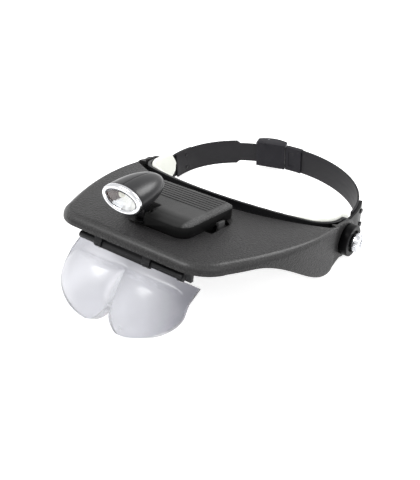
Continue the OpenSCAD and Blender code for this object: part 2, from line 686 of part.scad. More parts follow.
// Latch tongue at the right of the case, which hooks under the hood
module module_latch() {
    low = latch_y - latch_w / 2;
    high = latch_y + latch_w / 2;
    lever_x = slot_right - 3.2;
    under_z = plate_z - plate_t;
    hook = latch_w / 2 - 1.5;
    color([0.35, 0.35, 0.36]) in_hood() {
        block([case_right - 1, low, plate_z + gap], [lever_x, high, plate_z + 1.9]);
        block([lever_x - 1.8, low, under_z - 1.5], [lever_x, high, plate_z + 2.6]);
        block([lever_x - 0.1, latch_y - hook, under_z - 1.5],
            [slot_right + 0.9, latch_y + hook, under_z - gap]);
    }
}
switch_y = -82;
switch_z = 19.2;
switch_h = 3;
module switch_slider() {
    color([0.3, 0.3, 0.31]) in_hood() {
        low = switch_z - switch_h / 2;
        block([case_left - 1.6, switch_y - 3, low], [room_left - 0.4, switch_y + 2.5, low + switch_h]);
        block([case_left - 2.1, switch_y - 0.4, low], [case_left - 1.5, switch_y + 0.4, low + switch_h]);
    }
}

// Turret: a foot that turns on the case's ledge, with two ears for the tilt pin
module lamp_turret() {
    top = tilt_z + 2.4;
    color([0.1, 0.1, 0.11]) in_hood() translate([turret_x, turret_y, 0]) difference() {
        union() {
            translate([0, 0, turret_foot_z]) cylinder(r = 5.2, h = 0.9);
            translate([0, 0, case_seat_z]) cylinder(r = turret_r, h = ledge_t + 0.4);
            for (side = [-1, 1]) translate([side * (tongue_w / 2 + fit + ear_w / 2), 0, tilt_z]) {
                rod_x(-ear_w / 2, ear_w / 2, 2.4);
                block([-ear_w / 2, -2.4, turret_foot_z + 0.5 - tilt_z], [ear_w / 2, 2.4, 0]);
            }
        }
        translate([0, 0, tilt_z]) rod_x(-8, 8, tilt_pin_r + seat);
    }
}
module tilt_pin() {
    reach = tongue_w / 2 + ear_w + 0.8;
    color([0.65, 0.65, 0.67]) in_hood() translate([turret_x, turret_y, tilt_z])
        rod_x(-reach, reach, tilt_pin_r);
}

// Lamp: a bullet of oval section in two halves, split upright along its middle
lamp_rings = 12;
lamp_sides = 32;
function lamp_scale(s) = pow(max(1 - pow(s, 2.3), 0), 0.5);
module bullet(a, b, l) {
    rings = [for (i = [0:lamp_rings]) let (s = sin(90 * i / lamp_rings) * 0.995)
        [for (p = ellipse(a * lamp_scale(s), b * lamp_scale(s), lamp_sides)) [p[0], l * s, p[1]]]];
    n = lamp_rings * lamp_sides;
    sides = [for (i = [0:lamp_rings - 1], j = [0:lamp_sides - 1])
        let (k = (j + 1) % lamp_sides, p = i * lamp_sides, q = p + lamp_sides)
        each [[p + j, p + k, q + k], [p + j, q + k, q + j]]];
    ends = [for (j = [1:lamp_sides - 2]) each [[0, j + 1, j], [n, n + j, n + j + 1]]];
    polyhedron([for (ring = rings) each ring], concat(sides, ends));
}
module lamp_section(inset) { polygon(ellipse(lamp_a - inset, lamp_b - inset, lamp_sides)); }
module lamp_body() {
    bore_y = reflector_depth + 4;
    difference() {
        in_lamp() translate([0, 0.1, 0]) bullet(lamp_a, lamp_b, lamp_len - 0.1);
        in_lamp() along_y(-1, bore_y) lamp_section(lamp_wall + 0.6);
        in_lamp() translate([0, bore_y - 0.1, 0]) bullet(lamp_a - 4.5, lamp_b - 4, lamp_len - bore_y - 5);
    }
}
module tongue() {
    in_hood() translate([turret_x, turret_y, tilt_z]) difference() {
        union() {
            rod_x(-tongue_w / 2, tongue_w / 2, 2.1);
            block([-tongue_w / 2, -2.1, 0], [tongue_w / 2, 2.1, 8.5]);
        }
        rod_x(-9, 9, tilt_pin_r + fit);
    }
}
module lamp_shell_left() {
    color([0.12, 0.12, 0.13]) intersection() {
        lamp_body();
        in_lamp() block([-40, -10, -30], [-seat / 2, 60, 30]);
    }
}
module lamp_shell_right() {
    color([0.12, 0.12, 0.13]) {
        intersection() {
            lamp_body();
            in_lamp() block([seat / 2, -10, -30], [40, 60, 30]);
        }
        difference() {
            tongue();
            in_lamp() along_y(-1, lamp_len) lamp_section(lamp_wall);
        }
    }
}
bezel_w = 2.2;
module lamp_bezel() {
    color([0.9, 0.9, 0.92]) in_lamp() difference() {
        along_y(-3, 0) lamp_section(-0.2);
        along_y(-4, 1) lamp_section(bezel_w);
    }
}
module lamp_reflector() {
    inset = lamp_wall + 0.8;
    color([0.88, 0.88, 0.9]) in_lamp() difference() {
        translate([0, 0.2, 0]) rotate([-90, 0, 0]) linear_extrude(reflector_depth, scale = 0.7)
            lamp_section(inset);
        translate([0, -0.1, 0]) rotate([-90, 0, 0]) linear_extrude(reflector_depth - 1, scale = 0.6)
            lamp_section(inset + 1);
        for (x = led_x) translate([x, 0, 0]) rotate([-90, 0, 0]) cylinder(r = led_r + seat, h = 14);
    }
}
led_x = [-4.8, 4.8];
led_r = 2.5;
led_y = 5;
module led_bulbs() {
    color([0.95, 0.95, 0.85]) in_lamp() for (x = led_x) translate([x, led_y, 0]) {
        rotate([-90, 0, 0]) cylinder(r = led_r, h = reflector_depth + 0.4 - led_y);
        sphere(r = led_r);
    }
}
module led_board() {
    color([0.1, 0.35, 0.18]) in_lamp() along_y(reflector_depth + 0.5, reflector_depth + 1.9)
        lamp_section(lamp_wall + 0.8);
}
module lamp_lens() {
    color([0.9, 0.95, 1, 0.3]) in_lamp() along_y(-1.6, -0.2) lamp_section(bezel_w + seat);
}

headband_frame();
forehead_pad();
strap_left();
strap_right();
strap_rivets();
buckle_housing();
strap_clip();
buckle_pin();
buckle_lever();
pivot_screw_left();
pivot_screw_right();
spacer_washers();
pressure_disc_left();
pressure_disc_right();
thumb_knob_left();
thumb_knob_right();
hood_shell();
lens_clips();
lens_holder();
lens_plate();
battery_case();
battery_lid();
battery_cells();
battery_springs();
battery_contacts();
circuit_board();
module_latch();
switch_slider();
lamp_turret();
tilt_pin();
lamp_shell_left();
lamp_shell_right();
lamp_bezel();
lamp_reflector();
led_bulbs();
led_board();
lamp_lens();
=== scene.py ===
"""Looks of a binocular head magnifier: hood on a headband, hinged lens plate, lamp module."""

from math import atan, cos, degrees, hypot, pi, radians, sin, sqrt, tau

import bpy
from mathutils import Matrix, Vector


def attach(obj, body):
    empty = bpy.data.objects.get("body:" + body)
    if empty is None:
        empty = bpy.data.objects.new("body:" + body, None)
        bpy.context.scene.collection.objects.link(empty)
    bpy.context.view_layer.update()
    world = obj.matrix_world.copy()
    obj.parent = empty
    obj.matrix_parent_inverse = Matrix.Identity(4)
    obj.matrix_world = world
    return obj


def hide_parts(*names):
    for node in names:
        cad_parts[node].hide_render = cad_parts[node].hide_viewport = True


bl_info = {
    "name": "Binocular Head Magnifier",
    "version": (1, 0, 0),
    "blender": (4, 5, 0),
    "location": "3D View > Sidebar > Magnifier",
    "description": "Builds a head magnifier with a lens plate and a lamp, piece by piece",
    "category": "Add Mesh",
}

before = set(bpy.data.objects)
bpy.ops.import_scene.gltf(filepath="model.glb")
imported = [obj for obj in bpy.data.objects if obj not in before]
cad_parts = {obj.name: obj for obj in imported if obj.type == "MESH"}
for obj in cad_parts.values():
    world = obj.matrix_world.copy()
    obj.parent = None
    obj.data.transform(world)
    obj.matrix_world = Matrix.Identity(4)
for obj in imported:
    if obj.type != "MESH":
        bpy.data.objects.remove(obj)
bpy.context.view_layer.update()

MM = 0.001
# Frames of reference of the pieces, in millimetres
HOOD_PITCH = -10.4
LENS_TILT = -26.5
LAMP_TILT = 10.0
HINGE_PLACE = (0, -133.8, 1.4)
LAMP_PLACE = (-14.2, -125, 32.8)
NECK_PLACE = (-9, -111, 18.9)
TABLE_Z = -14.8


def turned(angle, axis="X"):
    """A turn about one axis, in degrees."""
    return Matrix.Rotation(radians(angle), 4, axis)


WORLD = Matrix.Identity(4)
HOOD = turned(HOOD_PITCH)
LENS = HOOD @ Matrix.Translation(HINGE_PLACE) @ turned(LENS_TILT)
LAMP = HOOD @ Matrix.Translation(LAMP_PLACE) @ turned(LAMP_TILT)


# Mesh tools

def alone(piece=None):
    """Selects one piece and nothing else, or nothing at all."""
    bpy.ops.object.select_all(action="DESELECT")
    if piece:
        piece.select_set(True)
        bpy.context.view_layer.objects.active = piece


def added(name, data):
    """A new object with this data, in the scene."""
    thing = bpy.data.objects.new(name, data)
    bpy.context.scene.collection.objects.link(thing)
    return thing


def solid(name, points, faces, place=WORLD, edges=()):
    """A new piece from points in millimetres, with its place in its mesh."""
    mesh = bpy.data.meshes.new(name)
    mesh.from_pydata([(place @ Vector(p)) * MM for p in points], edges, faces)
    return added(name, mesh)


def edited(piece, *steps):
    """Runs edit mode steps on a piece that is selected all over."""
    alone(piece)
    bpy.ops.object.mode_set(mode="EDIT")
    bpy.ops.mesh.select_all(action="SELECT")
    for step in steps:
        step()
    bpy.ops.object.mode_set(mode="OBJECT")
    return piece


def merged():
    """Merges doubles."""
    bpy.ops.mesh.remove_doubles(threshold=1e-6)


def outwards():
    """Turns all faces outwards."""
    bpy.ops.mesh.normals_make_consistent(inside=False)


def modified(piece, kind, **settings):
    """Adds a modifier and applies it."""
    modifier = piece.modifiers.new(kind.title(), kind)
    for key, value in settings.items():
        setattr(modifier, key, value)
    alone(piece)
    bpy.ops.object.modifier_apply(modifier=modifier.name)
    return piece


def eased(piece, width, segments=2, angle=40):
    """Rounds the edges that are sharper than the angle."""
    return modified(piece, "BEVEL", width=width * MM, segments=segments, limit_method="ANGLE",
                    angle_limit=radians(angle))


def smoothed(piece, angle=35):
    """Shades a piece smooth, apart from its sharp edges."""
    alone(piece)
    bpy.ops.object.shade_smooth_by_angle(angle=radians(angle))
    return piece


def dressed(piece, finish, body, slot, *nodes):
    """Gives a piece its finish and body, and lets it stand for its CAD nodes; the slot is not used.
    """
    piece.data.materials.clear()
    piece.data.materials.append(material(finish))
    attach(piece, body)
    if nodes:
        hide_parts(*nodes)
    return piece


def refined(node, name, width, segments=2, angle=40):
    """A merged copy of a CAD node with its flats joined and its edges eased."""
    piece = added(name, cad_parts[node].data.copy())
    edited(piece, merged, lambda: bpy.ops.mesh.dissolve_limited(angle_limit=radians(0.6)))
    return smoothed(eased(piece, width, segments, angle))


def copied(node, name, width, segments, finish, body, slot, angle=40):
    """A merged and eased copy of a CAD node that stands for the node."""
    return dressed(refined(node, name, width, segments, angle), finish, body, slot, node)


def joined(name, *pieces):
    """Joins pieces into one."""
    alone(pieces[0])
    for piece in pieces[1:]:
        piece.select_set(True)
    bpy.ops.object.join()
    pieces[0].name = name
    return pieces[0]


def cut(piece, *tools):
    """Takes the tools away from a piece."""
    for tool in tools:
        modified(piece, "BOOLEAN", operation="DIFFERENCE", object=tool, solver="EXACT")
        bpy.data.objects.remove(tool)
    return piece


def box(name, low, high, place):
    """A box between two corners, from a cube primitive."""
    low, high = Vector(low), Vector(high)
    alone()
    bpy.ops.mesh.primitive_cube_add(size=1)
    piece = bpy.context.object
    piece.name = name
    lie = Matrix.Translation((low + high) / 2) @ Matrix.Diagonal((*(high - low), 1))
    piece.data.transform(Matrix.Scale(MM, 4) @ place @ lie)
    return piece


def rod(name, start, end, radius, place=WORLD):
    """A rod between two points, from a cylinder primitive."""
    start, end = Vector(start), Vector(end)
    alone()
    bpy.ops.mesh.primitive_cylinder_add(vertices=32, radius=radius, depth=(end - start).length)
    piece = bpy.context.object
    piece.name = name
    lie = (end - start).to_track_quat("Z", "Y").to_matrix().to_4x4()
    piece.data.transform(Matrix.Scale(MM, 4) @ place @ Matrix.Translation((start + end) / 2) @ lie)
    return piece


def slab(name, outline, low, high, place, rounding=0):
    """A flat outline pulled up into a slab, with its top edge rounded by so much."""
    piece = solid(name, [(x, y, low) for x, y in outline], [list(range(len(outline)))])
    edited(piece, lambda: bpy.ops.mesh.extrude_region_move(
        TRANSFORM_OT_translate={"value": (0, 0, (high - low) * MM)}), outwards)
    if rounding:
        bpy.ops.object.mode_set(mode="EDIT")
        bpy.ops.mesh.select_mode(type="EDGE")
        bpy.ops.object.mode_set(mode="OBJECT")
        for edge in piece.data.edges:
            ends = [piece.data.vertices[i].co.z for i in edge.vertices]
            edge.select = all(abs(z - high * MM) < 1e-6 for z in ends)
        bpy.ops.object.mode_set(mode="EDIT")
        bpy.ops.mesh.bevel(offset=rounding * MM, segments=3, clamp_overlap=True)
        bpy.ops.mesh.select_mode(type="VERT")
        bpy.ops.object.mode_set(mode="OBJECT")
    piece.data.transform(Matrix.Scale(MM, 4) @ place @ Matrix.Scale(1 / MM, 4))
    return smoothed(piece)


def spun(name, profile, place):
    """A profile of X and radius spun round the X axis."""
    piece = solid(name, [(x, 0, r) for x, r in profile], [],
                  edges=[(i, i + 1) for i in range(len(profile) - 1)])
    edited(piece, lambda: bpy.ops.mesh.spin(steps=32, angle=tau, center=(0, 0, 0),
                                            axis=(1, 0, 0)), merged, outwards)
    piece.data.transform(Matrix.Scale(MM, 4) @ place @ Matrix.Scale(1 / MM, 4))
    return smoothed(piece)


def arc(cx, cy, radius, start, end, steps):
    """Points along an arc."""
    turns = [radians(start + (end - start) * i / steps) for i in range(steps + 1)]
    return [(cx + radius * cos(t), cy + radius * sin(t)) for t in turns]


def left_of(start, end):
    """The way to the left of a step: inwards, where an outline runs anticlockwise."""
    along = (Vector(end) - Vector(start)).normalized()
    return Vector((-along.y, along.x))


def lerp(a, b, t):
    """The value a share t of the way from a to b."""
    return a + (b - a) * t


def smooth(t):
    """An even step from 0 to 1."""
    t = min(max(t, 0), 1)
    return t * t * (3 - 2 * t)


def grid_faces(columns, rows, closed=False):
    """Faces of a sheet whose points go row by row within each column."""
    last = columns if closed else columns - 1
    pairs = [(i * rows, (i + 1) % columns * rows) for i in range(last)]
    return [(a + j, b + j, b + j + 1, a + j + 1) for a, b in pairs for j in range(rows - 1)]


def caps(columns, rows):
    """The two faces that close such a sheet at its first and its last row."""
    return [[i * rows + end for i in range(columns)] for end in (0, rows - 1)]


def shaped(name, points, faces, place, angle=40):
    """A solid with its doubles merged, its faces outwards and its sharp edges kept."""
    return smoothed(edited(solid(name, points, faces, place), merged, outwards), angle)


# Material tools

def tint(red, green, blue):
    """A display colour of 0 to 255 as the shader's colour."""
    parts = [c / 255 for c in (red, green, blue)]
    return tuple(c / 12.92 if c <= 0.04045 else ((c + 0.055) / 1.055) ** 2.4 for c in parts) + (1,)


def dimmed(colour, share):
    """The shader's colour of a display colour with this share of its light."""
    return tuple(c * share for c in tint(*colour)[:3]) + (1,)


class Wire:
    """A node's output, on which sums add Math nodes."""

    def __init__(self, finish, socket):
        self.finish = finish
        self.socket = socket

    def math(self, operation, *others):
        """A Math node on this value and others."""
        return self.finish.node("Math", enumerate((self,) + others), operation=operation)

    def __add__(self, other):
        return self.math("ADD", other)

    __radd__ = __add__

    def __sub__(self, other):
        return self.math("SUBTRACT", other)

    def __rsub__(self, other):
        return self.math("MULTIPLY_ADD", -1, other)

    def __mul__(self, other):
        return self.math("MULTIPLY", other)

    __rmul__ = __mul__

    def __truediv__(self, other):
        return self.math("DIVIDE", other)

    def above(self, edge):
        """1 where the value is over the edge."""
        return self.math("GREATER_THAN", edge)

    def wave(self):
        """The value's sine."""
        return self.math("SINE")


class Finish:
    """A procedural material or world: one shader and the nodes that feed it."""

    def __init__(self, name, kind="materials", shader="Principled BSDF"):
        self.owner = getattr(bpy.data, kind).new(name)
        self.owner.use_nodes = True
        self.tree = self.owner.node_tree
        self.shader = self.tree.nodes[shader]
        self.place = self.node("TexCoord", output="Object")

    def feed(self, socket, value):
        """Links a wire to a socket, or sets its value; a colour may be display levels."""
        if isinstance(value, Wire):
            self.tree.links.new(value.socket, socket)
        elif socket.type == "RGBA" and len(value) == 3:
            socket.default_value = tint(*value)
        else:
            socket.default_value = value

    def node(self, kind, values=(), output=0, **settings):
        """A new shader node with its settings, then its values and links."""
        made = self.tree.nodes.new("ShaderNode" + kind)
        for key, value in settings.items():
            if key == "stops":
                stops = made.color_ramp.elements
                for i, (spot, level) in enumerate(value):
                    stop = stops[i] if i < 2 else stops.new(spot)
                    stop.position, stop.color = spot, (level, level, level, 1)
            else:
                setattr(made, key, value)
        for key, value in dict(values).items():
            self.feed(made.inputs[key], value)
        return Wire(self, made.outputs[output])

    def noise(self, size, detail=2.0, roughness=0.5, stretch=(1, 1, 1)):
        """Noise whose features are about size millimetres."""
        spot = self.place
        if stretch != (1, 1, 1):
            spot = self.node("Mapping", {"Vector": self.place, "Scale": stretch})
        return self.node("TexNoise", {"Vector": spot, "Scale": 1 / (size * MM),
                                      "Detail": detail, "Roughness": roughness}, "Fac")

    def ramp(self, value, *stops):
        """A value put through a ramp of grey levels."""
        return self.node("ValToRGB", {"Fac": value}, stops=stops)

    def blend(self, factor, first, second):
        """A colour between two colours."""
        return self.node("Mix", {0: factor, 6: first, 7: second}, 2, data_type="RGBA")

    def part(self, index):
        """One coordinate of the place, in millimetres."""
        return self.node("SeparateXYZ", {0: self.place}, index) * 1000

    def within(self, place, axis):
        """One coordinate in a frame of reference, in millimetres."""
        start = place.translation
        way = place.to_3x3() @ Vector([float(i == axis) for i in range(3)])
        terms = [(self.part(i) - start[i]) * way[i] for i in range(3) if abs(way[i]) > 1e-6]
        return sum(terms[1:], terms[0])

    def bump(self, height, depth):
        """A bump of a height map, depth millimetres deep."""
        return self.node("Bump", {"Height": height, "Distance": depth * MM})

    def seen(self):
        """1 on camera, glossy and transmission rays and 0 on all others."""
        camera, glossy, through = (self.node("LightPath", output="Is %s Ray" % kind)
                                   for kind in ("Camera", "Glossy", "Transmission"))
        return camera.math("MAXIMUM", glossy).math("MAXIMUM", through)

    def shade(self, **values):
        """Sets the shader's sockets and returns the material or world."""
        for key, value in values.items():
            self.feed(self.shader.inputs[key.replace("_", " ")], value)
        return self.owner

    def done(self, base, roughness, gloss=0.5, **values):
        """Sets a material's sockets and returns it."""
        return self.shade(Base_Color=base, Roughness=roughness, Specular_IOR_Level=gloss, **values)

    def clear(self, base, roughness):
        """Sets the shader to clear plastic with a faint waviness."""
        return self.done(base, roughness, Transmission_Weight=1.0, IOR=1.45,
                         Normal=self.bump(self.noise(16, 1), 0.01))


# Dark and pale colour, roughness, grain, depth of the grain and gloss of each moulded plastic
GRAINED = {
    "case": ((8, 8, 8), (22, 22, 22), 0.42, 0.8, 0.05, 0.12),
    "black": ((14, 14, 16), (36, 36, 38), 0.42, 0.7, 0.03, 0.2),
    "headband": ((8, 8, 9), (22, 22, 24), 0.36, 1.2, 0.03, 0.14),
    "buckle": ((24, 23, 28), (38, 37, 42), 0.46, 1.0, 0.03, 0.16),
    "grey": ((62, 62, 63), (88, 88, 88), 0.5, 0.8, 0.04, 0.2),
    "rivet": ((22, 22, 24), (44, 44, 47), 0.42, 0.9, 0.03, 0.2),
}


def grained(name):
    """Moulded plastic with a fine grain, faint clouds in its colour and paler worn edges."""
    dark, pale, roughness, grain, depth, gloss = GRAINED[name]
    f = Finish(name + "_plastic")
    fine = f.noise(grain, 3, 0.6)
    worn = f.ramp(f.node("NewGeometry", output="Pointiness"), (0.5, 0), (0.6, 1))
    base = f.blend(f.noise(18, 3) * 0.5 + worn * 0.4, dark, pale)
    return f.done(base, roughness - 0.08 + fine * 0.16, gloss, Normal=f.bump(fine, depth))


def hood_plastic():
    """The hood's dark plastic: a leathery grain with pale specks, and glossier rounded edges made a
    little paler by a painted highlight.
    """
    look = bpy.context.scene.magnifier_look
    f = Finish("hood_plastic")
    clouds = f.noise(30, 3)
    fine = f.noise(1.3, 4, 0.7)
    cells = f.node("TexVoronoi", {"Vector": f.place, "Scale": 800}, "Distance",
                   feature="SMOOTH_F1")
    specks = f.ramp(f.noise(0.9, 3, 0.75), (0.44, 0), (0.6, 1))
    normal = f.node("TexCoord", output="Normal")
    upward = f.node("VectorMath", {0: normal, 1: HOOD.to_3x3() @ Vector((0, 0, 1))}, "Value",
                    operation="DOT_PRODUCT")
    # The rounded rim between the top and the sides gets a coat, and its base colour is lifted a
    # little as a painted highlight.
    edge = f.ramp(upward, (0.3, 0), (0.6, 1), (0.92, 1), (0.985, 0))
    base = f.blend(clouds * 0.35 + specks * 0.5 + edge * 0.1, tuple(look.hood_colour) + (1,),
                   (58, 57, 57))
    return f.done(base, look.hood_roughness - 0.07 + fine * 0.14, 0.22, Coat_Roughness=0.3,
                  Coat_Weight=edge * 0.32, Normal=f.bump(fine + cells, 0.32))


# Heights of the lid and its ridges
LID_HEIGHTS = (22.3, 24.8)
RIDGE_HEIGHTS = (24.6, 25.1)
# The ridges: how many, the middle of the first, their pitch and width, and where they end
RIDGES = 7
RIDGE_FIRST = -63.4
RIDGE_PITCH = 3.4
RIDGE_HALF = 1.2
RIDGE_LEFT = -30
RIDGE_RIGHT = 24.5


def lid_plastic():
    """The lid's plastic: painted shade in the grooves between its ridges, a rough right edge with
    painted pale glints, and painted shade on its front.
    """
    f = Finish("lid_plastic")
    fine = f.noise(0.9, 4, 0.65)
    edge = f.ramp((f.part(0) - 25) * 0.5, (0, 0), (1, 1))
    # Along the right edge the lid is rougher and bumpier, with pale specks painted in as glints of
    # highlight.
    rough_grit_and_painted_glint = edge * f.ramp(f.noise(1.1, 2, 0.7), (0.42, 0), (0.6, 1))
    back = f.within(HOOD, 1)
    turns = (back - RIDGE_FIRST + RIDGE_PITCH / 2) * (tau / RIDGE_PITCH)
    # Painted shade: dark lines in the grooves between the ridges.
    painted_groove_shade = turns.wave().above(0.55) * back.above(-86) * f.part(0).math("LESS_THAN", RIDGE_RIGHT)
    # Painted shade on the lid's front, which is also made rougher.
    front = f.ramp((back * -1 - 101) * 0.1, (0, 0), (0.7, 1)) * (1 - edge)
    base = f.blend(f.noise(16, 3) * 0.4 + rough_grit_and_painted_glint * 0.6, (28, 28, 28), (92, 92, 92))
    base = f.blend(painted_groove_shade, base, (6, 6, 6))
    base = f.blend(front * 0.85, base, (5, 5, 5))
    return f.done(base, 0.45 + rough_grit_and_painted_glint * 0.2 + front * 0.25, 0.36,
                  Normal=f.bump(fine + rough_grit_and_painted_glint * 2, 0.1))


def satin_strap():
    """The strap's smooth dark vinyl, with a faint lengthwise draw."""
    f = Finish("strap_vinyl")
    draw = f.noise(2.5, 2, 0.5, (0.15, 0.15, 1))
    base = f.blend(f.noise(14, 2) * 0.5 + draw * 0.3, (26, 25, 28), (40, 39, 42))
    return f.done(base, 0.42 + draw * 0.16, 0.2, Normal=f.bump(draw, 0.03))


def glossy(name, colour, lift, roughness, gloss):
    """Smooth black plastic with a faint orange peel."""
    f = Finish(name)
    smear = f.noise(9, 3)
    return f.done(f.blend(smear * 0.35, colour, lift), roughness + smear * 0.12, gloss,
                  Normal=f.bump(f.noise(2.2, 2), 0.006))


def metal(name, colour, roughness, draw=(1, 1, 1), depth=0.003):
    """Bright metal with fine marks."""
    f = Finish(name)
    marks = f.noise(1.2, 3, 0.6, draw)
    base = f.blend(f.noise(8, 2) * 0.5, colour, dimmed(colour, 0.86))
    return f.done(base, roughness + marks * 0.1, Metallic=1.0, Normal=f.bump(marks, depth))


def pad_cloth():
    """Cream fabric: a fine knit with sheen, and painted shade that makes its hollows slightly
    darker.
    """
    f = Finish("pad_cloth")
    rows = (f.part(2) * 7.5).wave()
    stitches = ((f.part(0) + f.part(1)) * 5.5).wave()
    knit = rows * stitches * 0.5 + 0.5
    clouds = f.noise(9, 3)
    # Painted shade: the knit's hollows are slightly darker in the colour.
    base = f.blend(clouds * 0.5 + knit * 0.25, (238, 240, 231), (250, 251, 245))
    return f.done(base, 0.85 + knit * 0.1, Normal=f.bump(knit + clouds, 0.12), Sheen_Weight=0.3)


def lens_plastic():
    """The lens plate's clear plastic: milky, with painted shade that greys it towards the rims of
    the two domes and towards its right side.
    """
    f = Finish("lens_acrylic")
    off_x = (f.part(0) - LENS_X).math("ABSOLUTE") - DOME_X
    off_w = f.within(LENS, 2) + DOME_W
    # Painted shade greys each dome towards its rim.
    rim = f.ramp((off_x * off_x + off_w * off_w) / 900, (0.12, 0), (1, 1))
    haze = f.noise(14, 3)
    # Painted shade also greys the plate towards its right, standing in for the dark hood seen
    # through it; the noise is haze.
    shade = rim * 0.45 + f.ramp((f.part(0) - 18) / 36, (0, 0), (1, 1)) * 0.45 + haze * 0.15
    clear = tuple(bpy.context.scene.magnifier_look.lens_colour) + (1,)
    return f.clear(f.blend(shade, clear, (128, 128, 136)), 0.2 + haze * 0.1)


def window_plastic():
    """The lamp window's clear plastic, with a faint haze."""
    f = Finish("lamp_window")
    haze = f.noise(12, 3)
    clear = (246, 248, 250)
    return f.clear(f.blend(haze * 0.3, clear, dimmed(clear, 0.93)), 0.02 + haze * 0.05)


def mirror_bowl():
    """The reflector's silver, with a painted brown reflection at its left and a weak painted glow
    that brightens it.
    """
    f = Finish("reflector_silver")
    marks = f.noise(1.2, 3, 0.6)
    # A brown patch at the bowl's left is a painted reflection.
    across, up = (f.within(LAMP, 0) + 10.5) * 0.17, (f.within(LAMP, 2) + 0.5) * 0.2
    spot = across * across + up * up + f.noise(2.5, 2) * 1.6 - 0.8
    base = f.blend(f.ramp(spot, (0.6, 1), (0.95, 0)), (252, 252, 253), (52, 27, 18))
    # The weak emission is a painted glow that brightens the silver.
    return f.done(base, 0.14 + marks * 0.1, Metallic=0.5, Normal=f.bump(marks, 0.003),
                  Emission_Color=base, Emission_Strength=0.3)


def cell_wrap():
    """A cell's sleeve: dark over most of its length and copper at one end, with a bright rim."""
    f = Finish("cell_wrap")
    copper, rim = f.part(0).above(8), f.part(0).above(19)
    sleeve = f.blend(copper, (40, 42, 46), (176, 104, 62))
    return f.done(f.blend(rim, sleeve, (200, 200, 204)), 0.28 + f.noise(6, 3) * 0.12,
                  Metallic=0.3 + rim * 0.6)


def board_green():
    """A circuit board: green lacquer over copper runs."""
    f = Finish("circuit_board_lacquer")
    runs = (f.part(0) * 2.4).wave().above(0.55)
    crossing = (f.part(1) * 1.9).wave().above(0.7)
    copper = runs.math("MAXIMUM", crossing)
    return f.done(f.blend(copper, (22, 84, 44), (58, 128, 66)),
                  0.32 + f.noise(5, 2) * 0.15, Normal=f.bump(copper, 0.03))


def led_epoxy():
    """A bulb's clear epoxy over its yellow phosphor."""
    f = Finish("led_epoxy")
    smear = f.noise(1.6, 2)
    base = f.blend(smear * 0.6, (250, 250, 240), (232, 218, 176))
    return f.done(base, 0.12 + smear * 0.1, Coat_Weight=0.6 + smear * 0.2)


MAKERS = {
    "hood": hood_plastic,
    "lid": lid_plastic,
    "lamp": lambda: glossy("lamp_black", (22, 22, 24), (36, 36, 39), 0.26, 0.42),
    "disc": lambda: glossy("disc_black", (3, 3, 4), (14, 14, 15), 0.3, 0.08),
    "strap": satin_strap,
    "pad": pad_cloth,
    "lens": lens_plastic,
    "lamp_lens": window_plastic,
    "chrome": lambda: metal("bright_chrome", (222, 223, 226), 0.12),
    "reflector": mirror_bowl,
    "steel": lambda: metal("brushed_steel", (168, 168, 172), 0.3, (6, 1, 1), 0.01),
    "cell": cell_wrap,
    "led": led_epoxy,
    "board": board_green,
}
MADE = {}


def material(name):
    """The material of that name, made when it is first asked for."""
    if name not in MADE:
        MADE[name] = grained(name) if name in GRAINED else MAKERS[name]()
    return MADE[name]


# Shapes of the hood, in the hood's own frame and in millimetres

HOOD_LEN = 139
HOOD_WALL = 2.4
FRONT_HALF_W = 72.25
REAR_HALF_W = 90.4
SIDE_BULGE = 7.5
CORNER_R = 25
PLATE_Z = 14.7
EAR_R = 14.2
PLATE_REAR = -21.25
REAR_EDGE_R = 165
REAR_EDGE_MID = 117
# Where the side's curve starts, its run and the share of it that is used
SIDE_START = 27 - HOOD_LEN
SIDE_RUN = 107.3
SIDE_SHARE = 0.8481
SIDE_LEAD = REAR_HALF_W - FRONT_HALF_W + 4 * SIDE_BULGE
BORE_R = 2.56
# Corners of the opening for the lamp module, the latch's slot, its pocket and the shelf beside it
OPENING = ((-32.4, -99.6, 5), (28.4, -62.6, 20))
SLOT = [(27, -93.5), (35.6, -93.5), (35.6, -72), (29.6, -67), (27, -67)]
POCKET = ((28.3, -94.7, 6.4), (38.6, -65.8, 12.4))
HOLLOW = ((27, -93.5, 7.6), (37.4, -67, 14))
SHELF = ((21, -93.5, 6.5), (28.25, -62, 7.5))


def hood_side(s):
    """A point on the hood's side curve."""
    return (FRONT_HALF_W + SIDE_LEAD * s - 4 * SIDE_BULGE * s * s, SIDE_START + SIDE_RUN * s)


def hood_outline():
    """Half of the hood's plan outline, from the middle of its front to its right ear."""
    slope = SIDE_LEAD / SIDE_RUN
    middle_y = CORNER_R - HOOD_LEN
    middle_x = FRONT_HALF_W + slope * (middle_y - SIDE_START) - CORNER_R * hypot(1, slope)
    start = (middle_y - CORNER_R * sin(atan(slope)) - SIDE_START) / SIDE_RUN
    front = [(middle_x * i / 6, -HOOD_LEN) for i in range(6)]
    corner = arc(middle_x, middle_y, CORNER_R, -90, -degrees(atan(slope)), 16)
    side = [hood_side(lerp(start, SIDE_SHARE, i / 34)) for i in range(1, 35)]
    step = [(91.45, -19.8), (91.25, -18.6), (90.85, -17.2), (90.55, -15.8), (REAR_HALF_W, -14.2)]
    ear = [(REAR_HALF_W, -EAR_R * cos(pi * i / 20)) for i in range(1, 20)]
    return front + corner + side + step + ear + [(REAR_HALF_W, EAR_R - 0.01)]


def hood_low(y):
    """Height of the hood's bottom edge."""
    if y > -4:
        return -sqrt(max(EAR_R ** 2 - y * y, 0))
    if y > -18:
        return lerp(-18.1, -13.6, smooth((y + 18) / 14))
    if y > -24:
        return lerp(-19.4, -18.1, (y + 24) / 6)
    return lerp(7.5, -19.4, smooth((y + 104) / 80))


def hood_high(y):
    """Height of the hood's top face."""
    circle = sqrt(max(EAR_R ** 2 - y * y, 0)) if y > 0 else EAR_R
    return lerp(PLATE_Z, circle, smooth((y + 16) / 14))


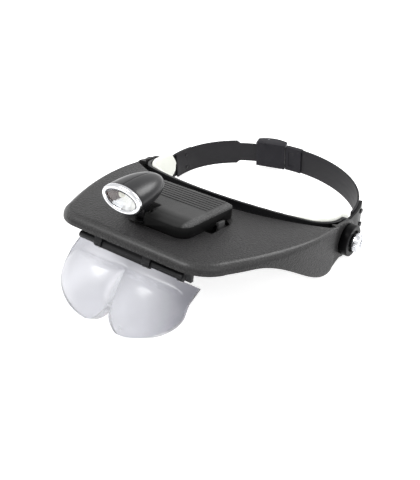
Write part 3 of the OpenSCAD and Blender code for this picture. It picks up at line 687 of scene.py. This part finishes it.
def hood_round(y):
    """Radius of the rounding between the hood's top and its sides."""
    if y > -22:
        return lerp(3.2, 0.05, smooth((y + 22) / 5))
    return lerp(5.8, 3.2, smooth((y + 110) / 85))


def rear_edge(x):
    """The arc of the hood's rear edge."""
    return REAR_EDGE_MID - sqrt(REAR_EDGE_R ** 2 - x * x)


def hood_sheet():
    """The hood's outer face, column by column, with its top closed by one flat face."""
    half = hood_outline()
    outline = [(-x, y) for x, y in reversed(half[1:])] + half
    wall_rows, arc_rows = 7, 8
    rows = wall_rows + arc_rows + 1
    points, count = [], len(outline)
    for i, (x, y) in enumerate(outline):
        inward = left_of(outline[max(i - 1, 0)], outline[min(i + 1, count - 1)])
        low, high, r = hood_low(y), hood_high(y), hood_round(y)
        for j in range(wall_rows):
            points.append((x, y, lerp(low, high - r, j / (wall_rows - 1))))
        for j in range(1, arc_rows + 1):
            t = pi / 2 * j / arc_rows
            shift = inward * r * (1 - cos(t))
            points.append((x + shift.x, y + shift.y, high - r + r * sin(t)))
        shift = inward * (r + 1.5 if y < PLATE_REAR else r)
        points.append((x + shift.x, y + shift.y, high))
    faces = grid_faces(count, rows)
    ring = [i * rows + rows - 1 for i in range(count) if outline[i][1] < PLATE_REAR]
    last = Vector(points[ring[-1]])
    for i in range(1, 24):
        x = last.x * (1 - i / 12)
        ring.append(len(points))
        rise = (last.y - rear_edge(last.x)) * abs(x / last.x) ** 6
        points.append((x, rear_edge(x) + rise, PLATE_Z))
    return points, faces + [ring]


# Operators, one for each piece or group of like pieces

class MAGNIFIER_OT_hood(bpy.types.Operator):
    """Builds the hood with its rounded edges, its ears and the opening for the lamp module"""

    bl_idname = "magnifier.hood"
    bl_label = "Hood"

    def execute(self, context):
        piece = edited(solid("hood", *hood_sheet(), HOOD), merged, outwards,
                       lambda: bpy.ops.mesh.dissolve_degenerate(threshold=1e-5))
        modified(piece, "SOLIDIFY", thickness=HOOD_WALL * MM, offset=-1, use_even_offset=True)
        bores = [rod("bore", (s * 80, 0, 0), (s * 100, 0, 0), BORE_R) for s in (-1, 1)]
        cut(piece, box("opening", *OPENING, HOOD), slab("slot", SLOT, 9, 20, HOOD), *bores)
        smoothed(eased(piece, context.scene.magnifier_look.edge / MM, 2, 55), 40)
        dressed(piece, "hood", "hood", "hood", "hood_shell")
        pocket = box("latch_pocket", *POCKET, HOOD)
        cut(pocket, box("hollow", *HOLLOW, HOOD))
        joined("latch_pocket", pocket, box("shelf", *SHELF, HOOD))
        smoothed(eased(pocket, 0.3))
        # The pocket and its shelf get the black plastic, darker than the hood, as painted shade
        # inside the latch's slot.
        dressed(pocket, "black", "hood", "black_plastic")
        return {"FINISHED"}


def case_outline():
    """Plan outline of the battery case and its lid."""
    return ([(-3, -116)] + arc(21, -107, 9, -90, 0, 12) + arc(27, -63, 3, 0, 90, 5)
            + arc(-31, -63, 3, 90, 180, 5) + [(-34, -99.45), (-3, -99.45)])


def pillow(name, outline, low, high, roundness, place):
    """A slab whose top edge rolls over by its own width and depth at each point."""
    count, steps = len(outline), 8
    points = []
    for i, (x, y) in enumerate(outline):
        inward = left_of(outline[i - 1], outline[(i + 1) % count])
        width, depth = roundness(x, y)
        points.append((x, y, low))
        for k in range(steps + 1):
            t = pi / 2 * k / steps
            spot = Vector((x, y)) + inward * width * (1 - cos(t))
            points.append((spot.x, spot.y, high - depth * (1 - sin(t))))
    rows = steps + 2
    return shaped(name, points, grid_faces(count, rows, True) + caps(count, rows), place)


def dense(outline, gap):
    """An outline with points added along its long sides."""
    out = []
    for i, (x, y) in enumerate(outline):
        x2, y2 = outline[(i + 1) % len(outline)]
        parts = max(1, int(hypot(x2 - x, y2 - y) / gap))
        out += [(lerp(x, x2, k / parts), lerp(y, y2, k / parts)) for k in range(parts)]
    return out


def lid_roundness(x, y):
    """Width and depth of the lid's rolled edge: wide in front, less at the right, small behind."""
    front = smooth((-y - 104) / 8) * smooth((x + 6) / 6)
    right = smooth((x - 20) / 8)
    return lerp(lerp(0.9, 3.0, right), 5.5, front), lerp(lerp(0.9, 2.2, right), 2.35, front)


class MAGNIFIER_OT_battery_lid(bpy.types.Operator):
    """Builds the sliding lid with its rounded edge and its fine ridges"""

    bl_idname = "magnifier.battery_lid"
    bl_label = "Battery lid"

    def execute(self, context):
        piece = pillow("battery_lid", dense(case_outline(), 1.5), *LID_HEIGHTS,
                       lid_roundness, HOOD)
        ridges = []
        for i in range(RIDGES):
            y = RIDGE_FIRST - RIDGE_PITCH * i
            low, high = y - RIDGE_HALF, y + RIDGE_HALF
            outline = [(RIDGE_LEFT, low), (RIDGE_RIGHT, low), (RIDGE_RIGHT, high),
                       (RIDGE_LEFT, high)]
            ridges.append(slab("ridge", outline, *RIDGE_HEIGHTS, HOOD, 0.3))
        joined("battery_lid", piece, *ridges)
        dressed(piece, "lid", "lid", "hood", "battery_lid")
        return {"FINISHED"}


class MAGNIFIER_OT_battery_case(bpy.types.Operator):
    """Builds the case under the lid, and finishes what is inside it"""

    bl_idname = "magnifier.battery_case"
    bl_label = "Battery case"

    def execute(self, context):
        copied("battery_case", "battery_case_shell", 0.35, 2, "case", "hood", "hood")
        for node, finish in (("battery_cells", "cell"), ("battery_contacts", "steel"),
                             ("circuit_board", "board")):
            copied(node, node + "_eased", 0.2, 2, finish, "hood", finish)
        springs = joined("spring_coils", *[self.coil(i) for i in range(3)])
        dressed(smoothed(springs, 60), "steel", "hood", "steel", "battery_springs")
        return {"FINISHED"}

    def coil(self, index):
        """One conical spring of round wire, which presses on a cell."""
        turns, sides, steps = 5, 8, 20
        x0, x1 = -30.2, -24.75
        y, z = -68.55 - 11 * index, 16.75
        rings = []
        for i in range(turns * steps + 1):
            t = i / (turns * steps)
            a = tau * turns * t
            radius = lerp(3.6, 2.3, t)
            middle = Vector((lerp(x0, x1, t), y + radius * cos(a), z + radius * sin(a)))
            out = Vector((0, cos(a), sin(a)))
            rings.append([middle + (out * cos(b) + Vector((1, 0, 0)) * sin(b)) * 0.3
                          for b in (tau * j / sides for j in range(sides))])
        points = [p for ring in rings for p in ring + [ring[0]]]
        ends = [list(range(sides)), list(range(len(points) - sides - 1, len(points) - 1))]
        piece = solid("coil", points, grid_faces(len(rings), sides + 1) + ends, HOOD)
        return edited(piece, merged, outwards)


class MAGNIFIER_OT_latch_and_switch(bpy.types.Operator):
    """Builds the grey latch tongue beside the case and the slide switch"""

    bl_idname = "magnifier.latch_and_switch"
    bl_label = "Latch and switch"

    def execute(self, context):
        copied("module_latch", "latch_tongue", 0.35, 3, "grey", "latch", "grey_plastic")
        copied("switch_slider", "switch_knob", 0.3, 3, "black", "switch", "black_plastic")
        return {"FINISHED"}


# The lamp's half width, half height, length and wall
LAMP_A = 16.2
LAMP_B = 10.2
LAMP_LEN = 36
LAMP_WALL = 1.7


def lamp_half(side):
    """Half of the lamp's bullet, right for side 1 and left for side -1, as an open sheet."""
    rings, sides = 30, 28
    points = []
    for i in range(rings + 1):
        s = sin(pi / 2 * i / rings)
        k = sqrt(max(1 - s ** 2.3, 0))
        for j in range(sides + 1):
            t = radians(-90 + 180 * j / sides)
            x = max(LAMP_A * k * cos(t), 0) + 0.16
            points.append((side * x, 0.1 + (LAMP_LEN - 0.1) * s, LAMP_B * k * sin(t)))
    faces = grid_faces(rings + 1, sides + 1)
    return points, faces if side > 0 else [face[:1] + face[:0:-1] for face in faces]


class MAGNIFIER_OT_lamp_shells(bpy.types.Operator):
    """Builds the two halves of the lamp with the seam between them, and the neck below"""

    bl_idname = "magnifier.lamp_shells"
    bl_label = "Lamp shells"

    def execute(self, context):
        for side, name in ((-1, "left"), (1, "right")):
            shell = edited(solid("lamp_half_" + name, *lamp_half(side), LAMP), merged)
            modified(shell, "SOLIDIFY", thickness=LAMP_WALL * MM, offset=-1)
            eased(shell, 0.32, 3, 60)
            smoothed(shell, 45)
            if side > 0:
                place = HOOD @ Matrix.Translation(NECK_PLACE)
                neck = box("neck", (-3, -2.1, 0), (3, 2.1, 7.4), place)
                knuckle = rod("knuckle", (-3, 0, 0), (3, 0, 0), 2.1, place)
                for part in (neck, knuckle):
                    smoothed(eased(part, 0.3))
                shell = joined("lamp_half_right", shell, neck, knuckle)
            dressed(shell, "lamp", "lamp", "gloss_black", "lamp_shell_" + name)
        return {"FINISHED"}


def oval(sides, row):
    """Points round the lamp's axis: a row gives half width, depth and half height at each turn."""
    turns = [tau * i / sides for i in range(sides)]
    return [(a * cos(t), y, b * sin(t)) for t in turns for a, y, b in row(t)]


# Inset and depth round the bezel's profile: its seat, its lip and its outer wall
BEZEL = ((2.2, -0.05), (2.2, -1.95), (2.9, -2.0), (2.85, -2.2), (2.1, -2.7), (1.3, -2.98),
         (0.7, -2.9), (0.15, -2.5), (-0.12, -1.8), (-0.2, -1.2), (-0.2, -0.25), (0.0, -0.05),
         (2.2, -0.05))
WINDOW = ((2.3, -0.2), (2.3, -1.2), (2.6, -1.45), (6, -1.7), (9, -1.8))
BOWL_INSET = 2.6
BOWL_DEPTH = 9.0
BOWL_STEPS = 14
LED_X = 4.8


def bezel_row(t):
    """The bezel's profile at one turn, with a lip that is wider at the top right."""
    wide = 1 + 0.26 * (1 + cos(t - 0.9))
    insets = [(inset * wide if y < -1.97 else inset, y) for inset, y in BEZEL]
    return [(LAMP_A - inset, y, LAMP_B - inset) for inset, y in insets]


def bowl_row(t):
    """The reflector's fluted profile at one turn, from its rim to its middle."""
    flute = 1 + 0.03 * cos(14 * t)
    return [((LAMP_A - BOWL_INSET) * (1 - u) * flute, 0.4 + BOWL_DEPTH * (1 - (1 - u) ** 2),
             (LAMP_B - BOWL_INSET) * (1 - u) * flute)
            for u in (k / BOWL_STEPS for k in range(BOWL_STEPS + 1))]


def window_row(_):
    """The window's profile, from its back edge to the middle of its face."""
    return [(LAMP_A - inset, y, max(LAMP_B - inset, 0)) for inset, y in WINDOW]


class MAGNIFIER_OT_lamp_front(bpy.types.Operator):
    """Builds the chrome bezel, the reflector, the two bulbs and the clear window of the lamp"""

    bl_idname = "magnifier.lamp_front"
    bl_label = "Lamp front"

    def execute(self, context):
        faces = grid_faces(72, len(BEZEL), True)
        bezel = shaped("bezel_ring", oval(72, bezel_row), faces, LAMP, 50)
        dressed(bezel, "chrome", "lamp", "chrome", "lamp_bezel")
        sides = 64
        faces = grid_faces(sides, BOWL_STEPS + 1, True)
        reflector = edited(solid("reflector_bowl", oval(sides, bowl_row), faces, LAMP), merged,
                           outwards)
        modified(reflector, "SOLIDIFY", thickness=0.3 * MM, offset=1)
        for x in (-LED_X, LED_X):
            cut(reflector, rod("hole", (x, 3, 0), (x, 14, 0), 2.6, LAMP))
        smoothed(reflector, 50)
        dressed(reflector, "reflector", "lamp", "reflector", "lamp_reflector")
        dome = [(cos(radians(a)) * -2.5, sin(radians(a)) * 2.5) for a in range(0, 91, 9)]
        profile = dome + [(4.6, 2.5), (4.7, 2.9), (5.4, 2.9), (5.4, 0)]
        bulbs = [spun("bulb", profile, LAMP @ Matrix.Translation((x, 5, 0)) @ turned(90, "Z"))
                 for x in (-LED_X, LED_X)]
        dressed(joined("bulb_pair", *bulbs), "led", "lamp", "led", "led_bulbs")
        copied("led_board", "led_board_eased", 0.15, 2, "board", "lamp", "board")
        rows = len(WINDOW)
        faces = grid_faces(sides, rows, True) + caps(sides, rows)
        glass = shaped("lamp_window", oval(sides, window_row), faces, LAMP)
        dressed(glass, "lamp_lens", "lamp", "lamp_clear", "lamp_lens")
        return {"FINISHED"}


class MAGNIFIER_OT_turret(bpy.types.Operator):
    """Builds the lamp's turret and its tilt pin"""

    bl_idname = "magnifier.turret"
    bl_label = "Lamp turret"

    def execute(self, context):
        copied("lamp_turret", "turret_fork", 0.3, 3, "black", "turret", "black_plastic")
        copied("tilt_pin", "tilt_pin_eased", 0.25, 3, "steel", "turret", "steel")
        return {"FINISHED"}


# The lens plate, in millimetres: x from its middle, w down from the hinge line

LENS_X = 3
LENS_BACK = 2.5
LENS_TOP = 2.45
LENS_LOW = 48.55
HALF_WIDTH = 50.6
# Where a lobe is lowest, where its curves start, half of its crease and how flat the curves are
LOBE_X = 13
OUTER_W = 22
INNER_W = 36.5
CREASE = 2.2
OUTER_POWER = 1.15
INNER_POWER = 1.3
# Upper corners of the left and the right edge, as pairs of w and x
LEFT_CORNER = ((LENS_TOP, 45.6), (11.45, 49.0))
RIGHT_CORNER = ((LENS_TOP, 54.4), (14.45, HALF_WIDTH))
# The domes' middles, radius and sunk depth
DOME_X = 20
DOME_W = 29
DOME_R = 48
DOME_SINK = 36.5
# Left, right and bottom of the notches that leave room for the clips and the stop tab
NOTCHES = ((-28, -21, -3.9), (13, 20, -3.9), (40.65, 45.25, -3.2))


def soft_min(a, b, reach):
    """The smaller of two values, blended where they are close."""
    near = max(reach - abs(a - b), 0) / reach
    return min(a, b) - near * near * reach / 4


def lobe(w, start, power):
    """A lobe's curve, from 1 where it starts to 0 at the plate's lowest point."""
    rise = ((w - start) / (LENS_LOW - start)) ** (1 / power)
    return sqrt(max(1 - rise * rise, 0)) ** power


def lens_side(side, w):
    """Inner and outer edge of one lobe at a height."""
    if w < OUTER_W:
        spots = (RIGHT_CORNER if side > 0 else LEFT_CORNER) + ((OUTER_W, HALF_WIDTH),)
        (w0, x0), (w1, x1) = spots[:2] if w < spots[1][0] else spots[1:]
        outer = lerp(x0, x1, (w - w0) / (w1 - w0))
    else:
        outer = lerp(LOBE_X, HALF_WIDTH, lobe(w, OUTER_W, OUTER_POWER))
    if w < INNER_W:
        inner = sqrt(max(CREASE ** 2 - (INNER_W - w) ** 2, 0))
    else:
        inner = lerp(LOBE_X, CREASE, lobe(w, INNER_W, INNER_POWER))
    return inner, outer


def lens_height(x, w):
    """Height of the plate's front: two domes, a slope under the flat strip and the crease."""
    dome = sqrt(DOME_R ** 2 - (abs(x) - DOME_X) ** 2 - (w - DOME_W) ** 2) - DOME_SINK
    slope = max((w - 8.4) * 2.1, (w - 7) * 0.375)
    crease = 2.6 + abs(x) * 1.7
    height = soft_min(soft_min(dome, slope, 4), crease, 2.5)
    return -soft_min(-height, 0, 0.8)


def lens_rows():
    """Heights of the plate's rows, close together where its outline turns."""
    top = [lerp(LENS_TOP, INNER_W - CREASE, i / 36) for i in range(37)]
    notch = [INNER_W - CREASE * cos(pi / 2 * i / 6) for i in range(1, 7)]
    low = [lerp(INNER_W, LENS_LOW, sin(pi / 2 * i / 20)) for i in range(1, 21)]
    return top + notch + low


class MAGNIFIER_OT_lens_plate(bpy.types.Operator):
    """Builds the clear lens plate with its two soft domes"""

    bl_idname = "magnifier.lens_plate"
    bl_label = "Lens plate"

    def execute(self, context):
        rows, columns = lens_rows(), context.scene.magnifier_look.lens_columns
        points, faces = [], []
        for side in (-1, 1):
            first = len(points)
            for w in rows:
                inner, outer = lens_side(side, w)
                for i in range(columns + 1):
                    x = side * lerp(inner, outer, (1 - cos(pi * i / columns)) / 2)
                    points.append((LENS_X + x, -lens_height(x, w), -w))
            for face in grid_faces(len(rows), columns + 1):
                faces.append([first + k for k in (face if side > 0 else reversed(face))])
        front = edited(solid("lens_plate_clear", points, faces, LENS), merged,
                       lambda: bpy.ops.mesh.dissolve_degenerate(threshold=1e-6))
        walled(front, LENS, LENS_BACK)
        for left, right, low in NOTCHES:
            cut(front, box("notch", (left, -1, low), (right, 3.5, 0), LENS))
        eased(front, 0.45, 3, 50)
        smoothed(front, 50)
        dressed(front, "lens", "lens", "clear_lens", "lens_plate")
        return {"FINISHED"}


def walled(piece, place, back):
    """Closes an open sheet by extruding it on to a flat back."""
    edited(piece, bpy.ops.mesh.extrude_region)
    away = place.to_3x3() @ Vector((0, 1, 0))
    level = (place.translation * MM).dot(away) + back * MM
    for vertex in piece.data.vertices:
        if vertex.select:
            vertex.co += away * (level - vertex.co.dot(away))
    return edited(piece, outwards)


class MAGNIFIER_OT_lens_holder(bpy.types.Operator):
    """Builds the hinge bar of the lens plate and the clips that hold it"""

    bl_idname = "magnifier.lens_holder"
    bl_label = "Lens holder"

    def execute(self, context):
        copied("lens_holder", "hinge_bar", 0.3, 3, "black", "lens", "black_plastic")
        copied("lens_clips", "hinge_clips", 0.3, 3, "black", "hood", "black_plastic")
        return {"FINISHED"}


class MAGNIFIER_OT_headband(bpy.types.Operator):
    """Builds the headband frame with its two arms"""

    bl_idname = "magnifier.headband"
    bl_label = "Headband frame"

    def execute(self, context):
        copied("headband_frame", "headband_shell", 0.6, 3, "headband", "headband", "black_plastic")
        return {"FINISHED"}


class MAGNIFIER_OT_forehead_pad(bpy.types.Operator):
    """Builds the cushioned pad inside the frame by cloth simulation"""

    bl_idname = "magnifier.forehead_pad"
    bl_label = "Forehead pad"

    def execute(self, context):
        piece = refined("forehead_pad", "forehead_cushion", 0.01, 1)
        modified(piece, "REMESH", mode="VOXEL", voxel_size=1.4 * MM)
        modified(piece, "SMOOTH", factor=0.5, iterations=6)
        self.swell(context, piece)
        modified(piece, "SUBSURF", levels=1, render_levels=1)
        alone(piece)
        bpy.ops.object.shade_smooth()
        dressed(piece, "pad", "headband", "pad", "forehead_pad")
        return {"FINISHED"}

    def swell(self, context, piece):
        """Blows the pad up as cloth, and lets no point go further than the cap."""
        cap = 0.8 * MM
        rest = [v.co.copy() for v in piece.data.vertices]
        cloth = piece.modifiers.new("Cloth", "CLOTH")
        cloth.settings.use_pressure = True
        cloth.settings.uniform_pressure_force = 4
        cloth.settings.effector_weights.gravity = 0
        cloth.settings.quality = 4
        cloth.collision_settings.use_collision = False
        for step in range(1, 21):
            context.scene.frame_set(step)
        alone(piece)
        bpy.ops.object.modifier_apply(modifier=cloth.name)
        for vertex, start in zip(piece.data.vertices, rest):
            move = vertex.co - start
            if move.length > cap:
                vertex.co = start + move.normalized() * cap
        context.scene.frame_set(1)


class MAGNIFIER_OT_straps(bpy.types.Operator):
    """Builds the two straps and the rivets that hold them to the arms"""

    bl_idname = "magnifier.straps"
    bl_label = "Straps and rivets"

    def execute(self, context):
        for side in ("left", "right"):
            name = "strap_" + side
            copied(name, name + "_soft", 0.45, 3, "strap", "headband", "strap", 50)
        copied("strap_rivets", "rivet_heads", 0.3, 3, "rivet", "headband", "grey_plastic")
        return {"FINISHED"}


class MAGNIFIER_OT_buckle(bpy.types.Operator):
    """Builds the buckle housing with its lever and pin, and the bare end clip"""

    bl_idname = "magnifier.buckle"
    bl_label = "Buckle and end clip"

    def execute(self, context):
        slot = "black_plastic"
        copied("buckle_housing", "buckle_body", 0.6, 3, "buckle", "headband", slot, 50)
        copied("buckle_lever", "buckle_lever_eased", 0.5, 3, "buckle", "lever", slot, 50)
        copied("strap_clip", "end_clip", 0.4, 3, "buckle", "headband", slot, 50)
        copied("buckle_pin", "buckle_pin_eased", 0.25, 3, "steel", "headband", "steel")
        return {"FINISHED"}


class MAGNIFIER_OT_pivots(bpy.types.Operator):
    """Builds the screws, spacers and black discs of the two pivots"""

    bl_idname = "magnifier.pivots"
    bl_label = "Pivots"

    def execute(self, context):
        for side in ("left", "right"):
            copied("pivot_screw_" + side, "screw_" + side, 0.25, 3, "steel", "headband", "chrome")
            copied("pressure_disc_" + side, "disc_" + side, 0.6, 3, "disc", "headband",
                   "gloss_black")
        copied("spacer_washers", "spacers", 0.2, 2, "black", "headband", "black_plastic")
        return {"FINISHED"}


class MAGNIFIER_OT_knobs(bpy.types.Operator):
    """Builds the two knurled chrome thumb knobs"""

    bl_idname = "magnifier.knobs"
    bl_label = "Thumb knobs"

    def execute(self, context):
        for side in ("left", "right"):
            name = "knob_" + side
            copied("thumb_" + name, name, 0.22, 2, "chrome", name, "chrome")
        return {"FINISHED"}


def area_lamp(name, place, aim, size, power):
    """A soft lamp that looks at a point."""
    data = bpy.data.lights.new(name, "AREA")
    data.energy, data.size = power, size
    lamp = added(name, data)
    lamp.location = place
    lamp.rotation_euler = (Vector(aim) - Vector(place)).to_track_quat("-Z", "Y").to_euler()


# The camera's place, aim and focal length in millimetres, and its roll in degrees
EYE = (258.1, -394.4, 278.4)
AIM = (2.1, -45.6, -10.0)
FOCAL = 51.83
ROLL = -0.84


class MAGNIFIER_OT_stage(bpy.types.Operator):
    """Sets up the pale floor, the soft light and the camera"""

    bl_idname = "magnifier.stage"
    bl_label = "Floor, light and camera"

    def execute(self, context):
        scene, stage = context.scene, context.scene.magnifier_stage
        alone()
        bpy.ops.mesh.primitive_plane_add(size=8)
        floor = context.object
        floor.name = "floor"
        floor.data.transform(Matrix.Translation((0, 0, (TABLE_Z - 0.02) * MM)))
        f = Finish("floor_paper")
        base = f.blend(f.noise(3, 2) * 0.2, (0.9, 0.9, 0.9, 1), (0.88, 0.88, 0.88, 1))
        floor.data.materials.append(f.done(base, 0.9, 0, Emission_Color=(1, 1, 1, 1),
                                           Emission_Strength=f.seen() * stage.paper))
        sky = Finish("studio", "worlds", "Background")
        scene.world = sky.shade(Color=(1, 1, 1, 1),
                                Strength=sky.seen() * (1 - stage.sky) + stage.sky)
        area_lamp("key", (-0.5, -0.7, 1.1), (0, -0.05, 0), 0.5, stage.key)
        area_lamp("rim", (0.3, 0.9, 0.9), (0, 0, 0), 0.6, stage.key)
        area_lamp("fill", (1.0, -0.4, 0.5), (0, -0.05, 0), 0.8, stage.key * 0.4)
        data = bpy.data.cameras.new("camera")
        data.lens = FOCAL
        camera = added("camera", data)
        camera.location = Vector(EYE) * MM
        look = (Vector(AIM) * MM - camera.location).to_track_quat("-Z", "Y").to_matrix().to_4x4()
        camera.rotation_euler = (look @ turned(ROLL, "Z")).to_euler()
        scene.camera = camera
        scene.view_settings.view_transform = "Standard"
        return {"FINISHED"}


# Settings that a user would change

class MagnifierLook(bpy.types.PropertyGroup):
    """Colours and small sizes of the magnifier"""

    hood_colour: bpy.props.FloatVectorProperty(
        name="Hood colour", description="Colour of the hood's plastic", subtype="COLOR",
        default=tint(26, 26, 27)[:3], min=0, max=1)
    hood_roughness: bpy.props.FloatProperty(
        name="Hood roughness", description="How matt the hood is", default=0.42, min=0.1, max=1,
        subtype="FACTOR")
    lens_colour: bpy.props.FloatVectorProperty(
        name="Lens colour", description="Colour of the clear lens plate", subtype="COLOR",
        default=(0.66, 0.665, 0.7), min=0, max=1)
    edge: bpy.props.FloatProperty(
        name="Edge rounding", description="Rounding of the hood's rim", default=0.0005, min=0.0001,
        max=0.001, unit="LENGTH", precision=5)
    lens_columns: bpy.props.IntProperty(
        name="Lens columns", description="Columns of faces across each lens", default=48, min=12,
        max=96)


class MagnifierStage(bpy.types.PropertyGroup):
    """Light"""

    key: bpy.props.FloatProperty(
        name="Key light", description="Power of the main lamp", default=9, min=0, max=100,
        unit="POWER")
    sky: bpy.props.FloatProperty(
        name="Sky", description="Strength of the even light from all sides", default=0.62, min=0,
        max=2)
    paper: bpy.props.FloatProperty(
        name="Paper white", description="How far the floor is lifted to white", default=0.75,
        min=0, max=1)


class MAGNIFIER_PT_panel(bpy.types.Panel):
    """Lists the steps that build the magnifier"""

    bl_idname = "MAGNIFIER_PT_panel"
    bl_label = "Head Magnifier"
    bl_space_type = "VIEW_3D"
    bl_region_type = "UI"
    bl_category = "Magnifier"

    def draw(self, context):
        column = self.layout.column()
        for group in (context.scene.magnifier_look, context.scene.magnifier_stage):
            for name in group.__annotations__:
                column.prop(group, name)
        for step in STEPS:
            column.operator(step.bl_idname)


STEPS = (
    MAGNIFIER_OT_stage,
    MAGNIFIER_OT_hood,
    MAGNIFIER_OT_battery_case,
    MAGNIFIER_OT_battery_lid,
    MAGNIFIER_OT_latch_and_switch,
    MAGNIFIER_OT_lamp_shells,
    MAGNIFIER_OT_lamp_front,
    MAGNIFIER_OT_turret,
    MAGNIFIER_OT_lens_plate,
    MAGNIFIER_OT_lens_holder,
    MAGNIFIER_OT_headband,
    MAGNIFIER_OT_forehead_pad,
    MAGNIFIER_OT_straps,
    MAGNIFIER_OT_buckle,
    MAGNIFIER_OT_pivots,
    MAGNIFIER_OT_knobs,
)
CLASSES = (MagnifierLook, MagnifierStage, MAGNIFIER_PT_panel) + STEPS


def register():
    """Registers the classes and puts the settings on the scene."""
    for cls in CLASSES:
        bpy.utils.register_class(cls)
    bpy.types.Scene.magnifier_look = bpy.props.PointerProperty(type=MagnifierLook)
    bpy.types.Scene.magnifier_stage = bpy.props.PointerProperty(type=MagnifierStage)


def unregister():
    """Takes the settings and the classes away again."""
    del bpy.types.Scene.magnifier_stage
    del bpy.types.Scene.magnifier_look
    for cls in reversed(CLASSES):
        bpy.utils.unregister_class(cls)


def main():
    register()
    for step in STEPS:
        getattr(bpy.ops.magnifier, step.bl_idname.split(".")[1])()
    bpy.context.view_layer.update()


if __name__ == "__main__":
    main()
